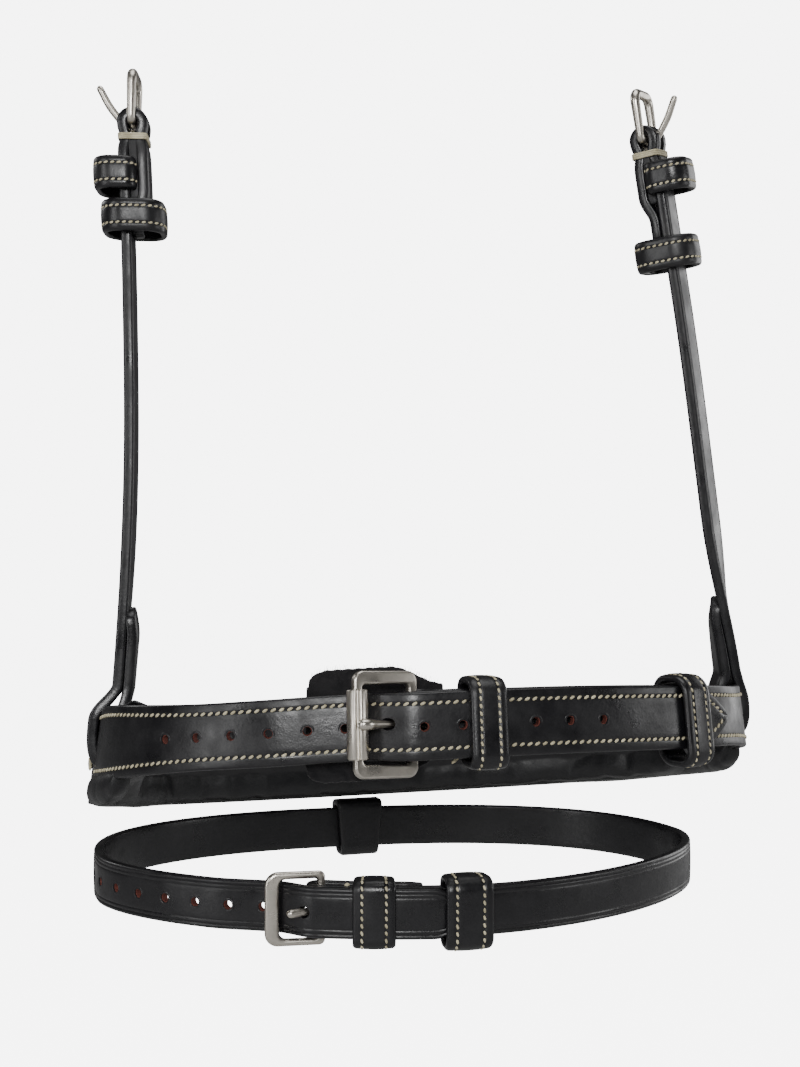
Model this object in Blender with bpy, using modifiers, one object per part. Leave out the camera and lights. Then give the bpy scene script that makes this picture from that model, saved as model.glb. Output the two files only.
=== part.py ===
"""A padded bridle noseband with a flash strap and two buckled cheek hangers.

The chin side faces -Y, the nose side +Y and +Z is up. The origin is the middle of the flat stretch
of the nosepiece lining that rests on the nose. +X is the horse's right side, so both main buckles
are on the horse's left. Dimensions are written in millimetres times MM, and lengths along a strap
are measured from the middle of its chin side, positive towards +X.
"""

import math

import bmesh
import bpy
import numpy as np
from mathutils import Matrix, Vector

MM = 0.001
GAP = 0.3 * MM
UP = Vector((0.0, 0.0, 1.0))

# The noseband seen from above: a superellipse through the middle of its thickness.
BAND_HALF_WIDTH = 115.5 * MM
BAND_HALF_DEPTH = 81.5 * MM
BAND_POWER = 2.2
FLARE = 0.12  # how far a lower edge stands out, per unit of height

# Heights of the straps' centre lines over the origin.
CHIN_HEIGHT = 29.6 * MM
CHIN_DROP_AT_SIDES = 12.4 * MM
CHIN_HALF_HEIGHT = 10.3 * MM
SIDE_HALF_HEIGHT = 12.6 * MM
NOSE_TOP_AT_SIDES = 31.0 * MM
NOSE_BOTTOM_AT_SIDES = -3.8 * MM
NOSE_TOP_SLOPE = -0.145
NOSE_BOTTOM_SLOPE = -0.187
NOSE_START_Y = -7.5 * MM
NOSE_LEATHER_START_Y = 27.0 * MM
NOSE_TAPER = 26.0 * MM
NOSE_STRAP_LAP = 40.0 * MM
NOSE_BLEND = 30.0 * MM
NOSE_LINING_OUT = -6.9 * MM
NOSE_STEP = 7.0 * MM

# Leather layers.
STRAP_THICKNESS = 2.6 * MM
LINING_THICKNESS = 1.2 * MM
NOSE_LEATHER_THICKNESS = 2.8 * MM
NOSE_PADDING_THICKNESS = 5.0 * MM
NOSE_LINING_THICKNESS = 1.5 * MM
LINING_INSET = 0.4 * MM
GUARD_THICKNESS = 2.2 * MM
KEEPER_THICKNESS = 2.2 * MM
KEEPER_EDGE_ROUNDING = 0.4 * MM
EDGE_ROUNDING = 0.5 * MM
STRAP_OUT = 1.0 * MM
LINING_OUT = STRAP_OUT - STRAP_THICKNESS / 2 - GAP - LINING_THICKNESS / 2

# The roller buckle of the noseband.
ROLLER_BAR_X = -34.0 * MM
ROLLER_BUCKLE_REACH = 19.0 * MM
ROLLER_BUCKLE_HEIGHT = 33.0 * MM
ROLLER_SIDE_BAR = 4.3 * MM
ROLLER_BAR = 3.0 * MM
ROLLER_BAR_CLEARANCE = 2.0 * MM
ROLLER_FRAME_THICKNESS = 2.6 * MM
ROLLER_RADIUS = 3.3 * MM
ROLLER_BORE = 2.3 * MM
ROLLER_LENGTH = 21.5 * MM
ROLLER_TILT = math.radians(19.0)
ROLLER_TONGUE_RADIUS = 1.25 * MM
ROLLER_FRAME_CORNER = 3.0 * MM
ROLLER_OPENING_CORNER = 1.0 * MM
ROLLER_EDGE_ROUNDING = 0.35 * MM
CHAPE_TAIL = 30.0 * MM
CHAPE_SLOT_LOW = (-6.0 * MM, -12.0 * MM, -2.1 * MM)
CHAPE_SLOT_HIGH = (7.0 * MM, 12.0 * MM, 2.1 * MM)
CHAPE_STRAIGHT = 8.0 * MM
STRAP_LINING_FROM_BAR = 33.0 * MM
STRAP_END_GAP = 4.0 * MM

# The flap behind the roller buckle.
GUARD_BEHIND_STRAP = 7.0 * MM
GUARD_LEFT = 34.5 * MM
GUARD_RIGHT = 12.0 * MM
GUARD_HALF_HEIGHT = 17.5 * MM
GUARD_CORNER = 8.0 * MM
GUARD_TAPER = 18.0 * MM
GUARD_RIGHT_SHARE = 0.66

# The two keepers of the noseband.
FIXED_KEEPER_X = -12.5 * MM
RUNNING_KEEPER_X = 62.5 * MM
KEEPER_HALF_LENGTH = 5.8 * MM
FIXED_KEEPER_ROOM = 0.8 * MM
RUNNING_KEEPER_ROOM = 1.8 * MM
RUNNING_KEEPER_SLACK = 0.5 * MM
RUNNING_KEEPER_SAG = 1.2 * MM

# The perforated end of the noseband.
BILLET_TIP_X = 80.5 * MM
BILLET_TIP_SHARE = 0.12
BILLET_DIP = 2.2 * MM
BILLET_DIP_LENGTH = 24.0 * MM
BILLET_RISE_LENGTH = 18.5 * MM
BILLET_RISE_END = 4.0 * MM
HOLE_DEPTH = 15.0 * MM
TONGUE_HOLE_TURN = math.radians(-88.0)
BILLET_POINT = 15.0 * MM
HOLE_PITCH = 11.7 * MM
HOLES_EACH_WAY = 6
TONGUE_HOLE_FROM_BAR = 9.5 * MM
TONGUE_HOLE_REACH = 8.6 * MM
TONGUE_HOLE_RISE = 2.7 * MM
TONGUE_HOLE_CENTRE = (7.5 * MM, 3.0 * MM)
HOLE_RADIUS = 1.5 * MM
TONGUE_HOLE_RADIUS = 2.2 * MM

# Cheek hangers.
HANGER_HALF_WIDTH = 6.5 * MM
HANGER_THICKNESS = 3.4 * MM
LEFT_NECK = (-107.2 * MM, 18.0 * MM, 32.2 * MM)  # from the ring's centre line
LEFT_TOP = (-102.4 * MM, 22.0 * MM, 251.6 * MM)
LEFT_ANGLE = math.radians(18.0)
LEFT_BOW = -4.0 * MM
LEFT_KEEPERS = (18.5 * MM, 33.5 * MM)  # down from the buckle's bar
RIGHT_NECK = (112.3 * MM, -20.0 * MM, 35.2 * MM)
RIGHT_TOP = (75.9 * MM, -18.6 * MM, 254.2 * MM)
RIGHT_ANGLE = math.radians(-47.0)
RIGHT_BOW = 0.4 * MM
RIGHT_KEEPERS = (14.5 * MM, 42.0 * MM)
HANGER_FORK = 7.0 * MM
HANGER_SHOULDER = -4.5 * MM
HANGER_LOOP_CLEARANCE = 0.7 * MM
HANGER_LOOP_DROP = 3.2 * MM
HANGER_FLEX = 32.0 * MM
HANGER_FLEX_GAP = 1.6 * MM
HANGER_TWIST_LENGTH = 60.0 * MM
HANGER_TURN_BACK = 40.0 * MM
HANGER_KEEPER_END = 29.0 * MM
HANGER_FOLD_END = 60.0 * MM
HANGER_SLOT_LOW = (-6.5 * MM, -12.0 * MM, -1.9 * MM)
HANGER_SLOT_HIGH = (7.0 * MM, 12.0 * MM, 1.9 * MM)
HANGER_BUCKLE_TALL = 18.6 * MM
HANGER_BUCKLE_WIDE = 18.4 * MM
HANGER_WIRE = 1.5 * MM
HANGER_FOLD_HALF_WIDTH = 5.6 * MM
BAR_CORNER = 1.6 * MM
HANGER_BUCKLE_CORNER = 3.6 * MM
HANGER_TONGUE_RADIUS = 1.1 * MM
HANGER_TONGUE_LENGTH = 17.5 * MM
HANGER_TONGUE_LEAN = math.radians(36.0)
HANGER_KEEPER_HEIGHT = 11.5 * MM
HANGER_KEEPER_THICKNESS = 2.0 * MM
HANGER_KEEPER_ROOM = 0.4 * MM
FIXED_KEEPER_STAND = 8.0 * MM
RUNNING_KEEPER_STAND = 6.0 * MM
RUNNING_KEEPER_BEHIND = 5.5 * MM
BINDING_RADIUS = 0.55 * MM
BINDING_FROM_BAR = 5.3 * MM

# Flash strap: its own ring, almost level, carried by the flash loop a little off its centre.
FLASH_HALF_WIDTH = 110.1 * MM
FLASH_HALF_DEPTH = 78.1 * MM
FLASH_FRONT_POWER = 1.73
FLASH_BACK_POWER = 2.33
FLASH_SHIFT_X = -6.4 * MM
FLASH_SHIFT_Y = 5.2 * MM
FLASH_LEAN = -0.016
FLASH_HEIGHT = -31.2 * MM
FLASH_HALF_HEIGHT = 8.0 * MM
FLASH_THICKNESS = 3.2 * MM
FLASH_BAR_X = -58.5 * MM
FLASH_BUCKLE_REACH = 16.7 * MM
FLASH_BUCKLE_HEIGHT = 23.5 * MM
FLASH_WIRE = 1.3 * MM
FLASH_TILT = math.radians(17.0)
FLASH_TONGUE_RADIUS = 1.0 * MM
FLASH_HOLE_PITCH = 11.4 * MM
FLASH_HOLE_COUNT = 9
FLASH_TIP_PAST_BAR = 43.5 * MM
FLASH_TIP_ROUND = 8.0 * MM
FLASH_DIP = 1.6 * MM
FLASH_DIP_LENGTH = 18.0 * MM
FLASH_RISE_LENGTH = 14.0 * MM
FLASH_TAIL = 33.0 * MM
FLASH_TAIL_ROOM = 2.6 * MM
FLASH_TAIL_ROOM_END = 27.0 * MM
FLASH_FIRST_HOLE = 7.0 * MM
FLASH_BUCKLE_CORNER = 3.2 * MM
FLASH_KEEPER_THICKNESS = 1.9 * MM
FLASH_FIXED_KEEPER_X = -42.5 * MM
FLASH_RUNNING_KEEPER_X = -14.5 * MM
FLASH_FIXED_KEEPER_HALF = 6.5 * MM
FLASH_RUNNING_KEEPER_HALF = 7.2 * MM
FLASH_RUNNING_KEEPER_ROOM = 1.0 * MM
FLASH_LOOP_THICKNESS = 2.4 * MM
FLASH_LOOP_CLEARANCE = 0.9 * MM
FLASH_LOOP_HALF_WIDTHS = (7.8 * MM, 9.6 * MM)  # at its bottom and its top

STATION = 7.0 * MM
LONG_STATION = 8.0 * MM

LEATHER = ("black_leather", (0.018, 0.018, 0.020), 0.45, 0.0)
PADDING = ("padding_leather", (0.020, 0.020, 0.022), 0.60, 0.0)
SUEDE = ("guard_suede", (0.022, 0.021, 0.021), 0.90, 0.0)
NICKEL = ("satin_nickel", (0.52, 0.50, 0.46), 0.30, 1.0)
THREAD = ("waxed_thread", (0.62, 0.58, 0.46), 0.70, 0.0)


def clear_scene():
    for obj in list(bpy.data.objects):
        bpy.data.objects.remove(obj)


def new_collection(name):
    collection = bpy.data.collections.new(name)
    bpy.context.scene.collection.children.link(collection)
    return collection


clear_scene()
PARTS = new_collection("flash_noseband")
CUTTERS = new_collection("cutters")


# ---------------------------------------------------------------- small helpers


def smooth(value, low, high):
    """0 below low, 1 above high and a smooth step between."""
    t = min(1.0, max(0.0, (value - low) / (high - low)))
    return t * t * (3.0 - 2.0 * t)


def mix(a, b, share):
    return a + (b - a) * share


def paint(obj, look):
    """Gives the object its own Principled material."""
    kind, colour, roughness, metallic = look
    material = bpy.data.materials.new(f"{obj.name}_{kind}")
    material.use_nodes = True
    shader = material.node_tree.nodes["Principled BSDF"]
    shader.inputs["Base Color"].default_value = (*colour, 1.0)
    shader.inputs["Roughness"].default_value = roughness
    shader.inputs["Metallic"].default_value = metallic
    obj.data.materials.clear()
    obj.data.materials.append(material)


def add_object(name, data, look, collection=None):
    obj = bpy.data.objects.new(name, data)
    (collection or PARTS).objects.link(obj)
    if look:
        paint(obj, look)
    return obj


def frame_matrix(origin, x_axis, y_axis):
    """A matrix whose local X and Y point along the two given directions."""
    x = Vector(x_axis).normalized()
    z = x.cross(Vector(y_axis)).normalized()
    y = z.cross(x)
    matrix = Matrix((x, y, z)).transposed().to_4x4()
    matrix.translation = Vector(origin)
    return matrix


def place_on_axis(obj, axis_point):
    """Moves the object's origin to a point on its joint's axis without moving its shape."""
    shift = obj.matrix_world.inverted() @ Vector(axis_point)
    obj.data.transform(Matrix.Translation(-shift))
    obj.matrix_world = obj.matrix_world @ Matrix.Translation(shift)


def spaced(start, end, longest=STATION):
    """Evenly spaced values from start to end, no further apart than longest."""
    count = max(1, math.ceil(abs(end - start) / longest))
    return [mix(start, end, i / count) for i in range(count + 1)]


def strip(name, look, rows, thickness, closed=False, rounding=EDGE_ROUNDING):
    """A leather strip. Each row is the pair of edge points of its middle surface at one station."""
    count = len(rows)
    segments = count if closed else count - 1
    mesh = bpy.data.meshes.new(name)
    bm = bmesh.new()
    bmesh.ops.create_grid(bm, x_segments=segments, y_segments=1, size=1.0)
    for vert in bm.verts:
        row = rows[round((vert.co.x + 1.0) / 2.0 * segments) % count]
        vert.co = row[1] if vert.co.y > 0.0 else row[0]
    if closed:
        bmesh.ops.remove_doubles(bm, verts=bm.verts, dist=0.01 * MM)
    bm.to_mesh(mesh)
    bm.free()
    obj = add_object(name, mesh, look)
    solidify = obj.modifiers.new("thickness", "SOLIDIFY")
    solidify.thickness = thickness
    solidify.offset = 0.0
    solidify.use_even_offset = True
    if rounding:
        bevel = obj.modifiers.new("edges", "BEVEL")
        bevel.width = rounding
        bevel.segments = 1
        bevel.limit_method = "ANGLE"
        bevel.angle_limit = math.radians(50.0)
    return obj


def curve_to_mesh(curve_object, look):
    """Turns a curve object into a welded mesh object of the same name."""
    name = curve_object.name
    matrix = curve_object.matrix_world.copy()
    bpy.context.view_layer.update()
    evaluated = curve_object.evaluated_get(bpy.context.evaluated_depsgraph_get())
    mesh = bpy.data.meshes.new_from_object(evaluated)
    bpy.data.objects.remove(curve_object)
    bm = bmesh.new()
    bm.from_mesh(mesh)
    bmesh.ops.remove_doubles(bm, verts=bm.verts, dist=0.005 * MM)
    bm.to_mesh(mesh)
    bm.free()
    obj = add_object(name, mesh, look)
    obj.matrix_world = matrix
    return obj


def add_spline(curve, points, closed):
    spline = curve.splines.new("POLY")
    spline.points.add(len(points) - 1)
    for target, point in zip(spline.points, points):
        target.co = (*point, 1.0)
    spline.use_cyclic_u = closed


def wire(name, look, points, radius, matrix=None, closed=False):
    """A round metal wire or thread along local points."""
    curve = bpy.data.curves.new(name, "CURVE")
    curve.dimensions = "3D"
    curve.bevel_depth = radius
    curve.bevel_resolution = 2
    curve.use_fill_caps = True
    add_spline(curve, points, closed)
    obj = add_object(name, curve, None)
    obj.matrix_world = matrix or Matrix.Identity(4)
    obj = curve_to_mesh(obj, look)
    obj.data.shade_smooth()
    return obj


def plate(name, look, outlines, thickness, matrix):
    """A flat plate: the first outline is its edge, and the others are openings."""
    curve = bpy.data.curves.new(name, "CURVE")
    curve.dimensions = "2D"
    curve.fill_mode = "BOTH"
    curve.extrude = thickness / 2
    for outline in outlines:
        add_spline(curve, [(x, y, 0.0) for x, y in outline], True)
    obj = add_object(name, curve, None)
    obj.matrix_world = matrix
    return curve_to_mesh(obj, look)


def rounded_box(width, height, radius, steps=4, left_radius=None):
    """Points of a rectangle with round corners about the origin, counter-clockwise.

    left_radius, where it is given, rounds the two corners at -X.
    """
    points = []
    corners = ((1, 1, 0), (-1, 1, 90), (-1, -1, 180), (1, -1, 270))
    right_radius = radius
    for sign_x, sign_y, start in corners:
        radius = left_radius if sign_x < 0 and left_radius else right_radius
        centre_x = sign_x * (width / 2 - radius)
        centre_y = sign_y * (height / 2 - radius)
        for i in range(steps + 1):
            angle = math.radians(start + 90.0 * i / steps)
            points.append((centre_x + radius * math.cos(angle), centre_y + radius * math.sin(angle)))
    return points


def cut(target, cutter):
    """Takes the cutter's shape out of the target."""
    boolean = target.modifiers.new(f"cut_{cutter.name}", "BOOLEAN")
    boolean.object = cutter
    boolean.operation = "DIFFERENCE"
    boolean.solver = "EXACT"


def cutter_object(name, bm):
    mesh = bpy.data.meshes.new(name)
    bm.to_mesh(mesh)
    bm.free()
    obj = add_object(name, mesh, None, CUTTERS)
    obj.hide_render = True
    obj.display_type = "WIRE"
    return obj


def round_hole_cutter(name, matrices, radii, depth):
    """Cylinders along the local Y axis of each matrix."""
    bm = bmesh.new()
    turn = Matrix.Rotation(math.radians(90.0), 4, "X")
    for matrix, radius in zip(matrices, radii):
        bmesh.ops.create_cone(
            bm, cap_ends=True, segments=12, radius1=radius, radius2=radius, depth=depth, matrix=matrix @ turn
        )
    return cutter_object(name, bm)


def box_cutter(name, matrix, low, high):
    """A box between two local corners."""
    low, high = Vector(low), Vector(high)
    size = high - low
    scale = Matrix.Diagonal((*size, 1.0))
    bm = bmesh.new()
    bmesh.ops.create_cube(bm, size=1.0, matrix=matrix @ Matrix.Translation((low + high) / 2) @ scale)
    return cutter_object(name, bm)


# ---------------------------------------------------------------- rings


class Ring:
    """A level closed curve, measured by length from the middle of its chin side."""

    def __init__(self, half_width, half_depth, front_power, back_power, centre_y, centre_x=0.0):
        angle = np.radians(np.linspace(-270.0, 90.0, 2881))
        cosine, sine = np.cos(angle), np.sin(angle)
        power = np.where(sine < 0.0, front_power, back_power)
        self.x = centre_x + half_width * np.sign(cosine) * np.abs(cosine) ** (2.0 / power)
        self.y = centre_y + half_depth * np.sign(sine) * np.abs(sine) ** (2.0 / power)
        lengths = np.concatenate([[0.0], np.cumsum(np.hypot(np.diff(self.x), np.diff(self.y)))])
        middle = len(angle) // 2
        self.s = lengths - lengths[middle]
        self.half_length = float(self.s[-1])
        along_x, along_y = np.gradient(self.x, self.s), np.gradient(self.y, self.s)
        size = np.hypot(along_x, along_y)
        self.out_x, self.out_y = along_y / size, -along_x / size
        self.front = slice(np.argmin(self.x), np.argmax(self.x) + 1)

    def at_x(self, x):
        """Length at which the chin side passes x."""
        return float(np.interp(x, self.x[self.front], self.s[self.front]))

    def at_y(self, y):
        """Length at which the +X side passes y."""
        right = slice(len(self.s) // 2, None)
        return float(np.interp(y, self.y[right], self.s[right]))

    def outward(self, s):
        return Vector((float(np.interp(s, self.s, self.out_x)), float(np.interp(s, self.s, self.out_y)), 0.0))

    def point(self, s, out=0.0, z=0.0):
        base = Vector((float(np.interp(s, self.s, self.x)), float(np.interp(s, self.s, self.y)), z))
        return base + self.outward(s).normalized() * out

    def frame(self, s, out, z, lean=0.0):
        """Local X runs along the strap towards -s, local Y points outward and local Z up.

        lean tips local Z inward as the straps' faces do.
        """
        outward = self.outward(s)
        along = outward.cross(UP)
        return frame_matrix(self.point(s, out, z), along, outward + UP * lean)


def ring_centre_y():
    """Puts the lining's middle facet at y = 0."""
    trial = Ring(BAND_HALF_WIDTH, BAND_HALF_DEPTH, BAND_POWER, BAND_POWER, 0.0)
    end = trial.half_length - NOSE_STEP / 2
    return -trial.point(end, NOSE_LINING_OUT - NOSE_LINING_THICKNESS / 2).y


CENTRE_Y = ring_centre_y()
BAND = Ring(BAND_HALF_WIDTH, BAND_HALF_DEPTH, BAND_POWER, BAND_POWER, CENTRE_Y)
FLASH = Ring(
    FLASH_HALF_WIDTH,
    FLASH_HALF_DEPTH,
    FLASH_FRONT_POWER,
    FLASH_BACK_POWER,
    CENTRE_Y + FLASH_SHIFT_Y,
    FLASH_SHIFT_X,
)
SIDE_LENGTH = BAND.at_y(CENTRE_Y)


def chin_centre(s):
    return CHIN_HEIGHT - CHIN_DROP_AT_SIDES * (abs(s) / SIDE_LENGTH) ** 2


def chin_half_height(s):
    return mix(CHIN_HALF_HEIGHT, SIDE_HALF_HEIGHT, smooth(abs(s), 0.6 * SIDE_LENGTH, SIDE_LENGTH))


def flare(s, z):
    """How far the noseband's surfaces stand out at height z."""
    nose_share = smooth(abs(s), SIDE_LENGTH + NOSE_STRAP_LAP, SIDE_LENGTH + 2.0 * NOSE_STRAP_LAP)
    return FLARE * (mix(chin_centre(s), 0.0, nose_share) - z)


def band_row(s, out, bottom, top):
    """Edge points at one station of a strap of the noseband."""
    return BAND.point(s, out + flare(s, bottom), bottom), BAND.point(s, out + flare(s, top), top)


def chin_row(s, out, half_height):
    centre = chin_centre(s)
    return band_row(s, out, centre - half_height, centre + half_height)


# ---------------------------------------------------------------- nosepiece


def nose_edges(s):
    """Bottom and top height of the nosepiece at length s, tapered to the side strap at its ends."""
    y = BAND.point(s).y - CENTRE_Y
    full_bottom = NOSE_BOTTOM_AT_SIDES + NOSE_BOTTOM_SLOPE * y
    full_top = NOSE_TOP_AT_SIDES + NOSE_TOP_SLOPE * y
    share = smooth(y, NOSE_START_Y, NOSE_START_Y + NOSE_TAPER)
    bottom = mix(chin_centre(s) - SIDE_HALF_HEIGHT, full_bottom, share)
    return bottom, full_top


def nose_stations(start_y):
    """Lengths from the middle of the nose down to the end at start_y, with one step centred on the nose."""
    start = BAND.at_y(CENTRE_Y + start_y)
    right = [BAND.half_length - NOSE_STEP / 2]
    while right[-1] - NOSE_STEP > start + NOSE_STEP / 2:
        right.append(right[-1] - NOSE_STEP)
    right.append(start)
    return right


def nosepiece_layer(name, look, thickness, out_at_end, out_at_nose, inset, start_y):
    """One layer of the nosepiece; its offset changes where the side straps end beneath it."""
    rows = []
    right = nose_stations(start_y)
    for side in (1, -1):
        stations = right[::-1] if side > 0 else right
        for s in stations:
            share = smooth(s, SIDE_LENGTH + NOSE_STRAP_LAP, SIDE_LENGTH + NOSE_STRAP_LAP + NOSE_BLEND)
            out = mix(out_at_end, out_at_nose, share)
            bottom, top = nose_edges(s)
            row = band_row(s, out, bottom + inset, top - inset)
            if side < 0:
                row = tuple(Vector((-p.x, p.y, p.z)) for p in row)
            rows.append(row)
    return strip(name, look, rows, thickness, rounding=0.0)


def make_nosepiece():
    leather_end = STRAP_OUT + STRAP_THICKNESS / 2 + GAP + NOSE_LEATHER_THICKNESS / 2
    inner_branch = LINING_OUT - LINING_THICKNESS / 2 - HANGER_LOOP_CLEARANCE - HANGER_THICKNESS
    padding_end = inner_branch - HANGER_LOOP_CLEARANCE - NOSE_PADDING_THICKNESS / 2
    lining_end = padding_end - NOSE_PADDING_THICKNESS / 2 - GAP - NOSE_LINING_THICKNESS / 2
    padding_nose = NOSE_LINING_OUT + NOSE_LINING_THICKNESS / 2 + GAP + NOSE_PADDING_THICKNESS / 2
    leather_nose = padding_nose + NOSE_PADDING_THICKNESS / 2 + GAP + NOSE_LEATHER_THICKNESS / 2
    layers = (
        ("leather", LEATHER, NOSE_LEATHER_THICKNESS, leather_end, leather_nose, 1.0 * MM, NOSE_LEATHER_START_Y),
        ("padding", PADDING, NOSE_PADDING_THICKNESS, padding_end, padding_nose, 0.5 * MM, NOSE_START_Y),
        ("lining", PADDING, NOSE_LINING_THICKNESS, lining_end, NOSE_LINING_OUT, 1.0 * MM, NOSE_START_Y),
    )
    for name, look, thickness, at_end, at_nose, inset, start_y in layers:
        nosepiece_layer(f"nosepiece_{name}", look, thickness, at_end, at_nose, inset, start_y)


# ---------------------------------------------------------------- chin straps and their buckle

BAR_S = BAND.at_x(ROLLER_BAR_X)
BAR_OUT = STRAP_OUT - STRAP_THICKNESS / 2 - GAP - ROLLER_BAR_CLEARANCE
OVER_OUT = STRAP_OUT + STRAP_THICKNESS / 2 + GAP + LINING_THICKNESS + GAP + STRAP_THICKNESS / 2
STRAP_END = SIDE_LENGTH + NOSE_STRAP_LAP - STRAP_END_GAP
GUARD_OUT = STRAP_OUT - GUARD_BEHIND_STRAP - STRAP_THICKNESS / 2 - 2 * GAP - GUARD_THICKNESS / 2
TONGUE_S = BAR_S - TONGUE_HOLE_FROM_BAR


def billet_out(s):
    """Offset of the perforated strap: it dips behind the roller, then rises over the heel bar."""
    dip_share = smooth(s, BAR_S - 2 * BILLET_DIP_LENGTH, BAR_S - BILLET_DIP_LENGTH)
    dip = mix(STRAP_OUT, STRAP_OUT - BILLET_DIP, dip_share)
    return mix(dip, OVER_OUT, smooth(s, BAR_S - BILLET_RISE_LENGTH, BAR_S + 1.0 * MM))


def billet_half_height(s):
    tip = BAND.at_x(BILLET_TIP_X)
    width = min(chin_half_height(s), CHIN_HALF_HEIGHT) if s > BAR_S - 30.0 * MM else chin_half_height(s)
    return width * mix(BILLET_TIP_SHARE, 1.0, min(1.0, (tip - s) / BILLET_POINT))


def billet_rows(extra_out, inset):
    tip = BAND.at_x(BILLET_TIP_X)
    rise_start, rise_end = BAR_S - BILLET_DIP_LENGTH, BAR_S + BILLET_RISE_END
    stations = spaced(-STRAP_END, rise_start)[:-1]
    stations += spaced(rise_start, rise_end, STRAP_THICKNESS)[:-1]
    stations += spaced(rise_end, tip - BILLET_POINT)[:-1]
    stations += spaced(tip - BILLET_POINT, tip - 0.5 * MM, 4.0 * MM)
    rows = []
    for s in stations:
        half = billet_half_height(s) - inset
        rows.append(chin_row(s, billet_out(s) + extra_out, half))
    return rows


def billet_hole_places():
    """Lengths of the free holes, as many on each side of the one that the tongue fills."""
    steps = [i for i in range(-HOLES_EACH_WAY, HOLES_EACH_WAY + 1) if i != 0]
    return [TONGUE_S + i * HOLE_PITCH for i in steps]


def billet_normal(s):
    """Outward direction of the strap's face at s, including its climb over the heel bar."""
    step = 0.5 * MM
    ahead = BAND.point(s + step, billet_out(s + step))
    behind = BAND.point(s - step, billet_out(s - step))
    return (ahead - behind).cross(UP).normalized()


def make_billet():
    strap = strip("billet_strap", LEATHER, billet_rows(0.0, 0.0), STRAP_THICKNESS, rounding=0.0)
    lining_shift = LINING_OUT - STRAP_OUT
    lining_rows = billet_rows(lining_shift, LINING_INSET)
    lining = strip("billet_lining", PADDING, lining_rows, LINING_THICKNESS, rounding=0.0)
    tongue_way = roller_frame_matrix() @ Matrix.Translation((*TONGUE_HOLE_CENTRE, 0.0))
    matrices = [tongue_way @ Matrix.Rotation(TONGUE_HOLE_TURN, 4, "Z")]
    radii = [TONGUE_HOLE_RADIUS]
    for s in billet_hole_places():
        normal = billet_normal(s)
        matrices.append(frame_matrix(BAND.point(s, billet_out(s), chin_centre(s)), normal.cross(UP), normal))
        radii.append(HOLE_RADIUS)
    cutter = round_hole_cutter("billet_holes", matrices, radii, HOLE_DEPTH)
    cut(strap, cutter)
    cut(lining, cutter)


def fold_path(bar_radius, thickness, layers_apart, tail, keeper_room=0.0, keeper_end=0.0):
    """Middle line (along, out) of a strap end folded round a bar at (0, 0), in the strap's local frame.

    The tail lies on the inner side. It runs from its tip to the bar, round it, and ends on the outer
    side over the bar. layers_apart is the centre distance of the two layers at the tip, and
    keeper_room widens it as far as keeper_end from the bar.
    """
    radius = bar_radius + GAP + thickness / 2
    points = []
    for along in spaced(tail, 3.0 * MM, 4.0 * MM):
        near = mix(layers_apart + keeper_room, layers_apart, smooth(along, keeper_end, keeper_end + 5.0 * MM))
        apart = mix(2 * radius, near, smooth(along, 3.0 * MM, 10.0 * MM))
        points.append((along, radius - apart))
    for i in range(7):
        angle = math.radians(-90.0 - 30.0 * i)
        points.append((radius * math.cos(angle), radius * math.sin(angle)))
    return points, radius


def make_buckle_strap():
    """The right-hand strap: its end is folded round the roller buckle's heel bar."""
    path, radius = fold_path(ROLLER_BAR_CLEARANCE, STRAP_THICKNESS, STRAP_THICKNESS + GAP, CHAPE_TAIL)
    bar_out = STRAP_OUT - radius
    rows = []
    for along, out in path:
        s = BAR_S + along
        rows.append(chin_row(s, bar_out + out, CHIN_HALF_HEIGHT))
    straight_end = BAR_S + CHAPE_STRAIGHT
    for s in spaced(BAR_S, straight_end, CHAPE_STRAIGHT / 2)[1:] + spaced(straight_end, STRAP_END)[1:]:
        rows.append(chin_row(s, STRAP_OUT, chin_half_height(s)))
    strap = strip("buckle_strap", LEATHER, rows, STRAP_THICKNESS, rounding=0.0)
    frame = BAND.frame(BAR_S, bar_out, chin_centre(BAR_S), FLARE)
    cut(strap, box_cutter("chape_slot", frame, CHAPE_SLOT_LOW, CHAPE_SLOT_HIGH))
    lining_start = BAR_S + STRAP_LINING_FROM_BAR
    stations = spaced(lining_start, STRAP_END)
    lining_rows = [chin_row(s, LINING_OUT, chin_half_height(s) - LINING_INSET) for s in stations]
    strip("buckle_strap_lining", PADDING, lining_rows, LINING_THICKNESS, rounding=0.0)


def roller_frame_matrix():
    """Local X runs from the heel bar to the roller and tilts outward; local Y points outward."""
    frame = BAND.frame(BAR_S, BAR_OUT, chin_centre(BAR_S), FLARE)
    return frame @ Matrix.Rotation(ROLLER_TILT, 4, "Z")


def hook_path(eye_radius, shank):
    """A tongue's middle line: an open eye round the bar at (0, 0), then the shank's points."""
    points = []
    for i in range(9):
        angle = math.radians(330.0 - 30.0 * i)
        points.append((eye_radius * math.cos(angle), eye_radius * math.sin(angle), 0.0))
    points += [(x, y, 0.0) for x, y in shank]
    return points


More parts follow.
